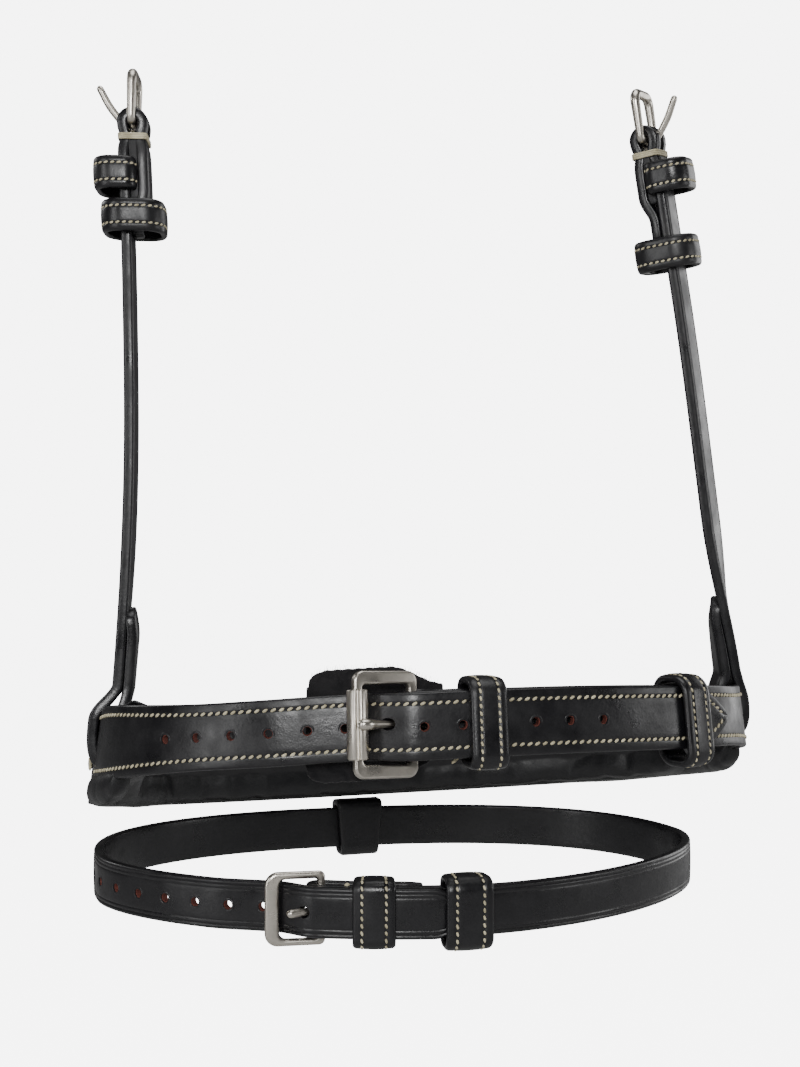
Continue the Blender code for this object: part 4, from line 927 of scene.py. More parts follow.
def make_billet():
    stations = spaced(-STRAP_END, BILLET_TIP - 0.5 * MM)
    rows = [billet_row(s, 0.0, 0.0) for s in stations]
    piece = strap("billet", rows, STRAP_THICKNESS, BRIDLE, creases=EDGE_STITCH_CREASE, crown=0.25 * MM)
    back_rows = [billet_row(s, LINING_OUT - STRAP_OUT, 0.4 * MM) for s in stations]
    lining = strap("billet_backing", back_rows, LINING_THICKNESS, BRIDLE_BACK, edge=0.4 * MM)
    steps = [i for i in range(-HOLES_EACH_WAY, HOLES_EACH_WAY + 1) if i]
    holes = [billet_hole(TONGUE_S + i * HOLE_PITCH) for i in steps]
    way = turned(roller_frame_matrix() @ Matrix.Translation(mm(7.5, 3.0, 0.0)), -BILLET_TONGUE_WAY, "Z")
    punch((piece, lining), way, TONGUE_HOLE_RADIUS, holes, 15.0 * MM)
    place(piece, "noseband", "leather", "billet_strap")
    place(lining, "noseband", "leather", "billet_lining")
    finish_holes("billet", holes, STRAP_THICKNESS, 0.45 * MM, 0.20 * MM, "noseband")
    edge_stitches("billet", rows, STRAP_THICKNESS, "noseband", start=2.0 * MM, end=4.0 * MM)


def make_buckle_strap():
    """The right-hand strap: its end is folded round the roller buckle's heel bar."""
    path, radius = fold_path(BAR_CLEARANCE, STRAP_THICKNESS, STRAP_THICKNESS + GAP, FOLDED_TAIL)
    bar_out = STRAP_OUT - radius
    rows = [chin_row(BAR_S + along, bar_out + out, CHIN_HALF_HEIGHT) for along, out in path]
    rows += [chin_row(s, STRAP_OUT, chin_half_height(s)) for s in spaced(BAR_S, STRAP_END)[1:]]
    piece = strap("buckle_strap_folded", rows, STRAP_THICKNESS, BRIDLE, creases=EDGE_STITCH_CREASE)
    frame_at_bar = BAND.frame(BAR_S, bar_out, chin_centre(BAR_S), FLARE)
    cut(piece, box_cutter(frame_at_bar, mm(-6.0, -12.0, -2.1), mm(7.0, 12.0, 2.1)))
    place(piece, "noseband", "leather", "buckle_strap")
    back_stations = spaced(BAR_S + BACKING_START, STRAP_END)
    back_rows = [chin_row(s, LINING_OUT, chin_half_height(s) - 0.4 * MM) for s in back_stations]
    lining = strap("buckle_strap_backing", back_rows, LINING_THICKNESS, BRIDLE_BACK, edge=0.4 * MM)
    place(lining, "noseband", "leather", "buckle_strap_lining")
    bare = [chin_row(s, STRAP_OUT, chin_half_height(s)) for s in spaced(BILLET_TIP - 9.0 * MM, STRAP_END)]
    edge_stitches("buckle_strap", bare, STRAP_THICKNESS, "noseband")


def make_roller_buckle():
    matrix = roller_frame_matrix()
    reach, bar = ROLLER_REACH, ROLLER_FRAME_BAR
    outer = rounded_box(reach + bar, ROLLER_FRAME_TALL, 3.4 * MM)
    inner = rounded_box(reach - bar, ROLLER_FRAME_TALL - 2 * ROLLER_FRAME_SIDE, 1.2 * MM, 5)
    outlines = [[(x + reach / 2, y) for x, y in line] for line in (outer, inner)]
    body = plate("roller_buckle_body", outlines, 2.8 * MM, 0.85 * MM, NICKEL, turned(matrix, 90.0, "X"))
    place(body, "roller_buckle", "satin_nickel", "roller_buckle_frame")
    make_roller(matrix @ Matrix.Translation((reach, 0.0, 0.0)))
    eye = BAR_CLEARANCE + GAP + 1.25 * MM
    over = ROLLER_RADIUS + GAP + 1.25 * MM
    shank = [
        (3.0 * MM, eye - 0.2 * MM),
        (8.6 * MM, 2.7 * MM),
        (reach - 4.5 * MM, over - 0.6 * MM),
        (reach - 1.2 * MM, over + 0.35 * MM),
        (reach + 0.5 * MM, over + 0.35 * MM),
    ]
    points, sizes = hook_points(eye, shank, 1.2 * MM, mm(1.15, 1.0, 1.35, 1.75, 1.8))
    tongue = wire("roller_tongue_body", points, sizes, NICKEL, matrix)
    place(tongue, "roller_tongue", "satin_nickel", "roller_buckle_tongue")


def make_roller(matrix):
    """A tube rolled from sheet, with two seams along it and soft ends."""
    count = 72
    groove = []
    for angle in [2.0 * pi * i / count for i in range(count)]:
        away = [(angle - radians(seam) + pi) % (2.0 * pi) - pi for seam in (68.0, 248.0)]
        groove.append(ROLLER_SEAM_DEPTH * sum(exp(-((turn / ROLLER_SEAM_SPREAD) ** 2)) for turn in away))
    steps = (mm(0.0, 0.5), mm(0.15, 0.2), mm(0.5, 0.0))
    soft_end = [(inset - ROLLER_HALF_LENGTH, shrink) for inset, shrink in steps]
    rings = []
    for z, shrink in soft_end + [(-z, shrink) for z, shrink in soft_end[::-1]]:
        depth = 0.6 if shrink else 1.0
        sizes = [ROLLER_RADIUS - shrink - seam * depth for seam in groove]
        rings.append([(size * x, size * y, z) for size, (x, y) in zip(sizes, circle(1.0, count))])
    for z in (ROLLER_HALF_LENGTH, -ROLLER_HALF_LENGTH):
        rings.append([(x, y, z) for x, y in circle(ROLLER_BORE, count)])
    verts = [matrix @ Vector(point) for ring in rings for point in ring]
    roller = add_mesh("roller_tube", verts, ring_faces(len(rings), count, closed=True), NICKEL, 50.0)
    place(roller, "buckle_roller", "satin_nickel", "buckle_roller")


def make_chin_guard():
    """The soft flap behind the buckle, taller than the strap and rounded at its left end."""
    start, end = BAR_S - GUARD_LEFT, BAR_S + GUARD_RIGHT
    rows = []
    for s in spaced(start, end, 0.9 * MM):
        left = mix(0.72, 1.0, quarter_round((s - start) / GUARD_ROUNDING))
        right = mix(1.0, 0.66, smooth(s, end - GUARD_SKIVE, end))
        half = GUARD_HALF_HEIGHT * left * right + 0.12 * MM * sin(s / MM * 1.7)
        rows.append(chin_row(s, GUARD_OUT, half))
    piece = strap("chin_guard_suede", rows, GUARD_THICKNESS, SUEDE, edge=0.7 * MM)
    place(piece, "noseband", "guard_suede", "chin_guard")
    make_fibres(rows, 0.2 * MM)


def make_fibres(rows, inset):
    """Loose suede fibres standing off the guard's upper edge."""
    middle, across, along, outward, half = station_vectors(rows)
    points = middle + across * np.maximum(half - inset, 0.0)[:, None] + outward * GUARD_THICKNESS / 2
    radius = 0.035 * MM
    verts, faces = [], []
    for _ in range(150):
        i = RANDOM.randrange(2, len(points) - 2)
        base = Vector(points[i]) - Vector(outward[i]) * RANDOM.uniform(0.2, 1.6) * MM
        reach = RANDOM.uniform(0.5, 1.8) * MM
        lean = Vector((RANDOM.uniform(-1, 1), RANDOM.uniform(-1, 1), 0.0)) * 0.5 * reach
        path = [base, base + UP * reach * 0.5 + lean * 0.3, base + UP * reach + lean]
        for a, b in zip(path, path[1:]):
            side = (b - a).orthogonal().normalized() * radius
            other = (b - a).cross(side).normalized() * radius
            faces += ring_faces(2, 3, len(verts))
            verts += [end + off for end in (a, b) for off in (side, other, -side)]
    place(add_mesh("chin_guard_fibres", verts, faces, SUEDE), "noseband", "guard_suede")


# ---- keepers

KEEPER_HALF_LENGTH = 5.8 * MM


def keeper_rows(ring, s, out_low, out_high, z, half_height, half_length, slant=0.0, corner=2.2 * MM):
    """A closed loop of keeper leather round a stack of straps, centred at length s of a ring."""
    middle = (out_low + out_high) / 2
    rows = []
    for out, up in walk(rounded_box(out_high - out_low, 2 * half_height, corner, 9)):
        stand = middle + out - slant * up
        rows.append(tuple(ring.point(s + side * half_length, stand, z + up) for side in (1, -1)))
    return rows


def keeper(name, rows, thickness, body, node, inset=3.0 * MM):
    """A keeper with a stitched groove near each edge."""
    groove = [(inset, 0.28 * MM, 0.7 * MM)]
    piece = strap(name, rows, thickness, BRIDLE, 0.95 * MM, groove, crown=0.45 * MM, closed=True)
    place(piece, body, "leather", node)
    edge_stitches(name, rows, thickness, body, "ab", inset, KEEPER_STITCH_PITCH, closed=True, **KEEPER_STITCH)


def make_noseband_keepers():
    outside = OVER_OUT + STRAP_THICKNESS / 2 + 2 * GAP + KEEPER_THICKNESS / 2
    under_fold = STRAP_OUT - 1.5 * STRAP_THICKNESS - 3 * GAP - KEEPER_THICKNESS / 2
    under_lining = LINING_BACK - 2 * GAP - KEEPER_THICKNESS / 2
    reach = CHIN_HALF_HEIGHT + 2 * GAP + KEEPER_THICKNESS / 2
    s = BAND.at_x(-12.5 * MM)
    size = (reach + 0.8 * MM, KEEPER_HALF_LENGTH, FLARE, 3.8 * MM)
    rows = keeper_rows(BAND, s, under_fold, outside, chin_centre(s), *size)
    keeper("noseband_keeper_sewn", rows, KEEPER_THICKNESS, "noseband", "noseband_fixed_keeper")
    s, slack, sag = BAND.at_x(62.5 * MM), 0.5 * MM, 1.2 * MM
    size = (reach + 1.8 * MM, KEEPER_HALF_LENGTH, FLARE, 4.6 * MM)
    rows = keeper_rows(BAND, s, under_lining - slack, outside + slack, chin_centre(s) - sag, *size)
    keeper("noseband_keeper_loose", rows, KEEPER_THICKNESS, "noseband_keeper", "noseband_running_keeper")


# ---- cheek hangers

LOOP_TUCK = 7.5 * MM
HANGER_FORK = 3.5 * MM
HANGER_SHOULDER = -8.0 * MM
HANGER_HALF_WIDTH = 6.5 * MM
HANGER_FOLD_HALF_WIDTH = 5.6 * MM
HANGER_FOLDED = 60.0 * MM
HANGER_TWIST = 60.0 * MM
HANGER_TAIL = 40.0 * MM
HANGER_FLEX = 32.0 * MM
HANGER_SKIVE = 1.9 * MM
HANGER_WIRE = 1.5 * MM
HANGER_BUCKLE_TALL = 18.6 * MM
HANGER_BUCKLE_WIDE = 18.4 * MM
HANGER_SLOT = (mm(-6.5, -12.0, -1.9), mm(7.0, 12.0, 1.9))
HANGER_BUCKLE_CORNER = 3.6 * MM
BAR_CORNER = 1.6 * MM
HANGER_KEEPER_THICKNESS = 2.0 * MM
HANGER_KEEPER_HALF_LENGTH = 5.75 * MM
HANGER_KEEPER_STITCH_INSET = 2.8 * MM
PRONG_ANGLE = 36.0
PRONG_LENGTH = 17.5 * MM
PRONG_RADIUS = 1.1 * MM
LAYER_HALF = (HANGER_THICKNESS + GAP) / 2
OUTER_LAYER = HANGER_WIRE + GAP + HANGER_THICKNESS / 2
WHIPPING_BELOW_BAR = 5.3 * MM
WHIPPING_PITCH = 0.72 * MM
ROLL_START_Y = -20.0 * MM
ROLL_END_Y = 52.0 * MM
ROLL_GROWTH = 16.0 * MM
ROLL_OUT = 4.2 * MM
ROLL_IN = -7.0 * MM
ROLL_FOLD_PITCH = 8.5 * MM
TACK_OUT = 4.9 * MM
TACK_HEIGHT = 8.4 * MM


class Hanger:
    """Places of one cheek hanger; side is +1 for the horse's right and -1 for its left.

    Arguments are in millimetres and degrees. The neck and top are measured from the ring's centre
    on the level of the lining's middle, and the keepers down from the buckle bar.
    """

    def __init__(self, side, neck, top, outer_angle, bow, keepers):
        self.side = side
        self.name = "right" if side > 0 else "left"
        self.neck = Vector(mm(*neck)) + Vector((0.0, CENTRE_Y, 0.0))
        top = Vector(mm(*top)) + Vector((0.0, CENTRE_Y, 0.0))
        self.s = BAND.at_y(self.neck.y) * side
        self.bar = top.z - self.neck.z - HANGER_BUCKLE_TALL
        self.spine = (top - self.neck).normalized()
        band_out = BAND.outward(self.s)
        self.low_angle = atan2(band_out.y, band_out.x * side)
        self.high_angle = radians(outer_angle)
        self.bow = bow * MM
        self.fixed_keeper, self.running_keeper = mm(*keepers)
        self.body = f"hanger_{self.name}"

    def outward(self, height):
        angle = mix(self.low_angle, self.high_angle, smooth(height, 0.0, HANGER_TWIST))
        out = Vector((cos(angle) * self.side, sin(angle), 0.0))
        upright = smooth(height, -2.0 * MM, 2.0 * MM)
        return (out - self.spine * out.dot(self.spine) * upright).normalized()

    def point(self, height, out):
        if height < 0.0:
            return self.neck + UP * height + self.outward(height) * out
        curve = self.bow * sin(pi * height / self.bar)
        return self.neck + self.spine * height + self.outward(height) * (out + curve)

    def across(self, height):
        along = UP.lerp(self.spine, smooth(height, -2.0 * MM, 2.0 * MM)).normalized()
        return self.outward(height).cross(along).normalized()

    def row(self, height, out, half_width=HANGER_HALF_WIDTH):
        """Edge points, ordered so that the strap's outer face is its grain side."""
        centre, across = self.point(height, out), self.across(height)
        return centre + across * half_width, centre - across * half_width

    def bar_matrix(self):
        return frame_matrix(self.point(self.bar, 0.0), self.spine, self.outward(self.bar))

    def loop_row(self, height, layer, band_out, share):
        """A station of the loop, which goes over from the spine's layer to the noseband's face."""
        at_band = band_point(self.s, band_out, self.neck.z + height)
        centre = self.point(height, layer).lerp(at_band, smooth(share, 0.0, 1.0))
        across = self.across(height) * HANGER_HALF_WIDTH
        return centre + across, centre - across

    def ring_rows(self, height, out_low, out_high, half_width, corner, inner_corner):
        """A closed loop of keeper leather round the hanger at a height."""
        outline = rounded_box(out_high - out_low, 2 * half_width, corner, 9, inner_corner)
        middle, across = (out_low + out_high) / 2, self.across(height)
        ends = (height + HANGER_KEEPER_HALF_LENGTH, height - HANGER_KEEPER_HALF_LENGTH)
        rows = []
        for out, width in walk(outline):
            rows.append(tuple(self.point(end, middle + out) + across * width for end in ends))
        return rows


def pinch(below_bar):
    """How far the thread whipping pulls each layer in."""
    return 1.1 * MM * exp(-(((below_bar - WHIPPING_BELOW_BAR) / (2.6 * MM)) ** 2))


def rounded_end(steps_from_end, radius_steps=3):
    """Share of the full width near a strap's rounded tip."""
    return sqrt(max(0.12, 1.0 - max(0.0, 1.0 - steps_from_end / radius_steps) ** 2))


def upper_stations(hanger):
    """(height, out) from the turned-back tip at the top down to the fork."""
    bar = hanger.bar
    room, end = 2.0 * MM + 3 * GAP, hanger.fixed_keeper + 6.3 * MM
    fold, radius = fold_path(HANGER_WIRE, HANGER_THICKNESS, 2 * LAYER_HALF, HANGER_TAIL, room, end)
    stations = [(bar - along, out - copysign(pinch(along), out)) for along, out in fold]
    stations += [(height, radius - pinch(bar - height)) for height in spaced(bar, bar - HANGER_FOLDED)[1:]]
    for height in spaced(bar - HANGER_FOLDED, HANGER_FLEX)[1:]:
        share = smooth(bar - height, HANGER_FOLDED, bar - HANGER_FLEX)
        stations.append((height, mix(radius, LAYER_HALF, share)))
    return stations + [(height, LAYER_HALF) for height in spaced(HANGER_FLEX, HANGER_FORK)[1:]]


def loop_stations(hanger):
    """(height, layer, out at the band, share of the band) down, round and up the side strap."""
    fork, shoulder = HANGER_FORK, HANGER_SHOULDER
    clear = LOOP_CLEARANCE + HANGER_THICKNESS / 2
    outer_face, inner_face = STRAP_FACE + clear, LINING_BACK - clear
    tuck = chin_centre(hanger.s) - chin_half_height(hanger.s) + LOOP_TUCK - hanger.neck.z
    tuck_top = min(shoulder, tuck + 16.0 * MM)
    turn, middle = (outer_face - inner_face) / 2, (outer_face + inner_face) / 2
    shares = spaced(0.0, 1.0, 0.1)
    loop = [(mix(fork, shoulder, share), LAYER_HALF, outer_face, share) for share in shares[1:]]
    loop += [(height, 0.0, outer_face, 1.0) for height in spaced(shoulder, tuck_top)[1:-1]]
    for angle in [radians(180.0 / 24 * i) for i in range(25)]:
        loop.append((mix(tuck_top, tuck, sin(angle) ** 0.8), 0.0, middle + turn * cos(angle), 1.0))
    loop += [(height, 0.0, inner_face, 1.0) for height in spaced(tuck_top, shoulder)[1:-1]]
    return loop + [(mix(fork, shoulder, share), -LAYER_HALF, inner_face, share) for share in shares[:0:-1]]


def make_hanger_strap(hanger):
    rows = []
    for i, (height, out) in enumerate(upper_stations(hanger)):
        near_bar = height > hanger.bar - 20.0 * MM
        narrow = smooth(abs(height - hanger.bar), 5.0 * MM, 13.0 * MM) if near_bar else 1.0
        half = mix(HANGER_FOLD_HALF_WIDTH, HANGER_HALF_WIDTH, narrow)
        rows.append(hanger.row(height, out, half * rounded_end(i)))
    rows += [hanger.loop_row(*station) for station in loop_stations(hanger)]
    tip = spaced(HANGER_FORK, HANGER_FLEX - 1.5 * MM)
    for i, height in enumerate(tip):
        skive = HANGER_SKIVE * smooth(height, HANGER_FLEX - 12.0 * MM, HANGER_FLEX)
        rows.append(hanger.row(height, skive - LAYER_HALF, HANGER_HALF_WIDTH * rounded_end(len(tip) - 1 - i)))
    crease, thickness = [mm(1.7, 0.22, 0.6)], HANGER_THICKNESS + GAP
    piece = strap(f"hanger_{hanger.name}_leather", rows, thickness, BRIDLE, 0.9 * MM, crease, 0.25 * MM)
    cut(piece, box_cutter(hanger.bar_matrix(), *HANGER_SLOT))
    loop = f"hanger_loop_{hanger.name}"
    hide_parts(loop, f"hanger_strap_{hanger.name}")
    bend = [hanger.point(HANGER_FLEX + step, 0.0) for step in mm(-12.0, 12.0)]
    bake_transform(piece)
    height = hanger.bar - HANGER_TAIL + 3.0 * MM
    face = hanger.point(height, OUTER_LAYER + HANGER_THICKNESS / 2 + 0.1 * MM)
    across, outward = hanger.across(height), hanger.outward(height)
    places = [(face + across * width, across, outward) for width in mm(-3.6, -1.2, 1.2, 3.6)]
    stitches(f"hanger_{hanger.name}_tip_stitches", places, hanger.body, slant=4.0)


def make_hanger_buckle(hanger):
    matrix = hanger.bar_matrix()
    tall = HANGER_BUCKLE_TALL - HANGER_WIRE
    outline = rounded_box(tall, HANGER_BUCKLE_WIDE - 2 * HANGER_WIRE, HANGER_BUCKLE_CORNER, 8, BAR_CORNER)
    points = [(x + tall / 2, 0.0, z) for x, z in outline]
    radii = [mix(1.45 * MM, 1.75 * MM, smooth(x, 0.3 * tall, 0.95 * tall)) for x, _, _ in points]
    piece = wire(f"hanger_{hanger.name}_buckle", points, radii, NICKEL, matrix, closed=True)
    place(piece, f"hanger_buckle_{hanger.name}", "satin_nickel", f"hanger_buckle_frame_{hanger.name}")
    eye = HANGER_WIRE + GAP + PRONG_RADIUS
    shank = [(4.0 * MM, eye), (PRONG_LENGTH * 0.6, eye + 0.2 * MM), (PRONG_LENGTH, eye - 0.6 * MM)]
    points, sizes = hook_points(eye, shank, PRONG_RADIUS, mm(1.25, 1.3, 1.2))
    prong = wire(f"hanger_{hanger.name}_prong", points, sizes, NICKEL, turned(matrix, PRONG_ANGLE, "Z"))
    place(prong, f"hanger_tongue_{hanger.name}", "satin_nickel", f"hanger_buckle_tongue_{hanger.name}")


def make_hanger_keepers(hanger):
    thick, name, inset = HANGER_KEEPER_THICKNESS, hanger.name, HANGER_KEEPER_STITCH_INSET
    inner_wall = OUTER_LAYER - HANGER_THICKNESS / 2 - GAP - thick / 2 - 0.25 * MM
    width = HANGER_HALF_WIDTH + 2 * GAP + thick / 2 + 0.4 * MM
    outer_face = OUTER_LAYER + HANGER_THICKNESS / 2
    height = hanger.bar - hanger.fixed_keeper
    rows = hanger.ring_rows(height, inner_wall, outer_face + 8.0 * MM, width, 5.6 * MM, 3.0 * MM)
    node = f"hanger_fixed_keeper_{name}"
    keeper(f"hanger_{name}_keeper_sewn", rows, thick, hanger.body, node, inset)
    low_out = OUTER_LAYER - 2 * HANGER_THICKNESS - 5.5 * MM
    height = hanger.bar - hanger.running_keeper
    rows = hanger.ring_rows(height, low_out, outer_face + 6.0 * MM, width + 0.4 * MM, 7.0 * MM, 6.0 * MM)
    node = f"hanger_running_keeper_{name}"
    keeper(f"hanger_{name}_keeper_loose", rows, thick, f"hanger_keeper_{name}", node, inset)


def make_keeper_tab(hanger):
    """The sewn keeper's ends, held between the two layers below the buckle."""
    start, end = hanger.bar - 4.0 * MM, hanger.bar - hanger.fixed_keeper - 9.0 * MM
    rows = [hanger.row(height, 0.0, HANGER_FOLD_HALF_WIDTH) for height in spaced(start, end)]
    tab = strap(f"hanger_{hanger.name}_keeper_tab", rows, 2 * OUTER_LAYER - HANGER_THICKNESS, BRIDLE_BACK)
    cut(tab, box_cutter(hanger.bar_matrix(), *HANGER_SLOT))
    place(tab, hanger.body, "leather")


def make_hanger_binding(hanger):
    """Cream thread whipped three times round both layers just under the buckle."""
    depth = 2 * (OUTER_LAYER - pinch(WHIPPING_BELOW_BAR) + GAP + THREAD_RADIUS) + HANGER_THICKNESS
    outline = rounded_box(depth, 2 * (HANGER_FOLD_HALF_WIDTH + GAP + THREAD_RADIUS), 1.4 * MM, 5)
    for turn in range(3):
        height = hanger.bar - WHIPPING_BELOW_BAR + (turn - 1) * WHIPPING_PITCH
        across, outward = hanger.across(height), hanger.outward(height)
        points = []
        for out, width in outline:
            wave = 0.12 * MM * sin(width / MM)
            points.append(hanger.point(height + wave, 0.0) + outward * out + across * width)
        piece = wire(f"hanger_{hanger.name}_whipping_{turn}", points, THREAD_RADIUS, THREAD, closed=True)
        nodes = [f"hanger_thread_binding_{hanger.name}"] if turn == 1 else []
        place(piece, hanger.body, "waxed_thread", *nodes)


def make_side_roll(hanger):
    """The soft padding that rolls out under the side strap, gathered in folds where it begins."""
    start, end = (BAND.at_y(CENTRE_Y + y) for y in (ROLL_START_Y, ROLL_END_Y))
    count = 44
    verts = []
    for s in spaced(start, end, 0.9 * MM):
        grown = quarter_round((s - start) / ROLL_GROWTH)
        bottom = chin_centre(s) - chin_half_height(s)
        nose_bottom = NOSE_BOTTOM_AT_SIDES + NOSE_BOTTOM_SLOPE * (BAND.point(s).y - CENTRE_Y) + 0.2 * MM
        lowest, highest = mix(bottom - 1.0 * MM, nose_bottom, grown), bottom + 3.5 * MM
        outer = mix(mix(2.0 * MM, ROLL_OUT, grown), 2.0 * MM, smooth(s, end - 24.0 * MM, end))
        inner = mix(-1.5 * MM, ROLL_IN, grown)
        gathers = 1.0 - smooth(s, start + 8.0 * MM, start + 26.0 * MM)
        for x, y in circle(1.0, count):
            fold = 0.5 - 0.5 * cos(2.0 * pi * (s - start) / ROLL_FOLD_PITCH + 1.3 * y)
            size = 0.5 - 0.035 * gathers * fold**3
            out = (outer + inner) / 2 + (outer - inner) * size * copysign(abs(x) ** 0.9, x)
            z = (highest + lowest) / 2 + (highest - lowest) * size * copysign(abs(y) ** 0.9, y)
            point = band_point(s, out, z)
            verts.append(Vector((point.x * hanger.side, point.y, point.z)))
    faces = ring_faces(len(verts) // count, count)
    faces += [tuple(range(count)), tuple(range(len(verts) - count, len(verts)))]
    roll = add_mesh(f"nosepiece_roll_{hanger.name}", verts, faces, SOFT, 60.0)
    place(roll, "noseband", "padding_leather")


def make_bar_tack(hanger):
    """Heavy thread through the loop's outer branch, just above the padding's roll."""
    lengths = [hanger.s + along for along in mm(-1.6, 1.6)]
    places = [(BAND.point(s, TACK_OUT, TACK_HEIGHT), UP, BAND.outward(s)) for s in lengths]
    size = {"length": 5.2 * MM, "radius": 0.85 * MM, "slant": 8.0}
    stitches(f"hanger_{hanger.name}_bar_tack", places, f"hanger_loop_{hanger.name}", **size)


def make_tacks():
    """Single thread ends: under the chin strap beside the sewn keeper and over the flash strap."""
    s = BAND.at_x(-21.5 * MM)
    outward = BAND.outward(s)
    point = BAND.point(s, STRAP_OUT + 1.6 * MM, chin_centre(s) - CHIN_HALF_HEIGHT - 0.9 * MM)
    size = {"length": 3.4 * MM, "radius": 0.5 * MM, "slant": 40.0}
    stitches("chape_tack", [(point, outward.cross(UP), outward)], "noseband", **size)
    s = FLASH.at_x(-50.5 * MM)
    outward = FLASH.outward(s)
    point = FLASH.point(s, 0.4 * MM, flash_centre(s) + FLASH_HALF_HEIGHT + 0.1 * MM)
    size = {"length": 1.8 * MM, "radius": 0.6 * MM}
    stitches("flash_chape_tack", [(point, outward.cross(UP), outward)], "flash_strap", **size)


# ---- flash strap

FLASH_BAR_S = FLASH.at_x(-58.5 * MM)
FLASH_WIRE = 1.3 * MM
FLASH_REACH = 16.7 * MM
FLASH_FOLD = FLASH_WIRE + GAP + FLASH_THICKNESS / 2
FLASH_OVER = FLASH_THICKNESS + GAP
FLASH_TAIL = 33.0 * MM
FLASH_LAP = 40.0 * MM
FLASH_HOLE_PITCH = 11.4 * MM
FLASH_HOLE_COUNT = 9
FLASH_TIP = FLASH_BAR_S + 43.5 * MM
FLASH_TILT = 17.0
FLASH_TONGUE_WAY = 60.0
FLASH_BUCKLE_TALL = 23.5 * MM
FLASH_FRONT_BAR = 4.6 * MM
FLASH_KEEPER_THICKNESS = 1.9 * MM
FLASH_LOOP_THICKNESS = 2.4 * MM
FLASH_LOOP_CLEAR = 0.9 * MM
FLASH_LOOP_HALF_LOW = 7.8 * MM
FLASH_LOOP_HALF_HIGH = 9.6 * MM


def flash_centre(s):
    return FLASH_HEIGHT + FLASH_LEAN * (FLASH.point(s).x - FLASH_CENTRE_X)


def flash_row(s, out, half_height=FLASH_HALF_HEIGHT):
    centre = flash_centre(s)
    return FLASH.point(s, out, centre - half_height), FLASH.point(s, out, centre + half_height)


def flash_billet_out(s):
    dip = mix(0.0, -1.6 * MM, smooth(s, FLASH_BAR_S - 36.0 * MM, FLASH_BAR_S - 18.0 * MM))
    return mix(dip, FLASH_OVER, smooth(s, FLASH_BAR_S - 14.0 * MM, FLASH_BAR_S))


def flash_buckle_matrix():
    """Local X runs from the heel bar to the front bar; local Y points outward."""
    at_bar = FLASH.frame(FLASH_BAR_S, -FLASH_FOLD, flash_centre(FLASH_BAR_S))
    return turned(at_bar, FLASH_TILT, "Z")


def flash_hole(s):
    outward = FLASH.outward(s)
    return frame_matrix(FLASH.point(s, flash_billet_out(s), flash_centre(s)), outward.cross(UP), outward)


def make_flash_strap():
    path, _ = fold_path(FLASH_WIRE, FLASH_THICKNESS, FLASH_OVER, FLASH_TAIL, 2.6 * MM, 27.0 * MM)
    rows = [flash_row(FLASH_BAR_S + along, out - FLASH_FOLD) for along, out in path]
    full_turn = 2 * FLASH.half_length
    for s in spaced(FLASH_BAR_S, FLASH_BAR_S + full_turn - FLASH_LAP)[1:]:
        rows.append(flash_row(s - full_turn if s > FLASH.half_length else s, 0.0))
    tip = 8.0 * MM
    for s in spaced(FLASH_BAR_S - FLASH_LAP, FLASH_TIP - tip)[1:]:
        rows.append(flash_row(s, flash_billet_out(s)))
    for turn in [radians(10.0 * i) for i in range(1, 9)]:
        s = FLASH_TIP - tip + tip * sin(turn)
        rows.append(flash_row(s, FLASH_OVER, FLASH_HALF_HEIGHT * cos(turn) ** 0.8))
    creases = [mm(1.5, 0.25, 0.5), mm(2.9, 0.16, 0.45)]
    piece = strap("flash_strap_leather", rows, FLASH_THICKNESS, BRIDLE, 0.9 * MM, creases, 0.2 * MM)
    at_bar = FLASH.frame(FLASH_BAR_S, -FLASH_FOLD, flash_centre(FLASH_BAR_S))
    slot_top = (5.5 * MM, FLASH_FOLD + FLASH_OVER / 2, 1.7 * MM)
    cut(piece, box_cutter(at_bar, mm(-4.0, -11.0, -1.7), slot_top))
    steps = range(1, FLASH_HOLE_COUNT)
    holes = [flash_hole(FLASH_BAR_S - 7.0 * MM - i * FLASH_HOLE_PITCH) for i in steps]
    way = flash_buckle_matrix() @ Matrix.Translation((4.6 * MM, FLASH_FOLD + 1.6 * MM, 0.0))
    punch([piece], turned(way, -FLASH_TONGUE_WAY, "Z"), TONGUE_HOLE_RADIUS, holes, 8.0 * MM)
    place(piece, "flash_strap", "leather", "flash_strap")
    finish_holes("flash", holes, FLASH_THICKNESS, 0.4 * MM, 0.15 * MM, "flash_strap")


def make_flash_buckle():
    """Wide front bar, slimmer sides and a heel bar, with rounded edges all round."""
    matrix = flash_buckle_matrix()
    opening = FLASH_REACH - FLASH_FRONT_BAR
    outer = rounded_box(FLASH_REACH + 2 * FLASH_WIRE, FLASH_BUCKLE_TALL, 4.2 * MM, 10, 2.0 * MM)
    inner = rounded_box(opening, FLASH_BUCKLE_TALL - 4.8 * MM, 2.2 * MM, 8, 0.8 * MM)
    outlines = [[(x + FLASH_REACH / 2, y) for x, y in outer]]
    outlines.append([(x + FLASH_WIRE + opening / 2, y) for x, y in inner])
    body = plate("flash_buckle_body", outlines, 2.5 * MM, 1.15 * MM, NICKEL, turned(matrix, 90.0, "X"))
    place(body, "flash_buckle", "satin_nickel", "flash_buckle_frame")
    eye = FLASH_WIRE + GAP + 1.0 * MM
    shank = [(1.6 * MM, eye + 0.3 * MM), (6.0 * MM, eye + 2.6 * MM), (10.5 * MM, eye + 4.4 * MM)]
    points, sizes = hook_points(eye, shank, 1.0 * MM, mm(1.05, 1.25, 1.35))
    tongue = wire("flash_tongue_body", points, sizes, NICKEL, matrix)
    place(tongue, "flash_tongue", "satin_nickel", "flash_buckle_tongue")


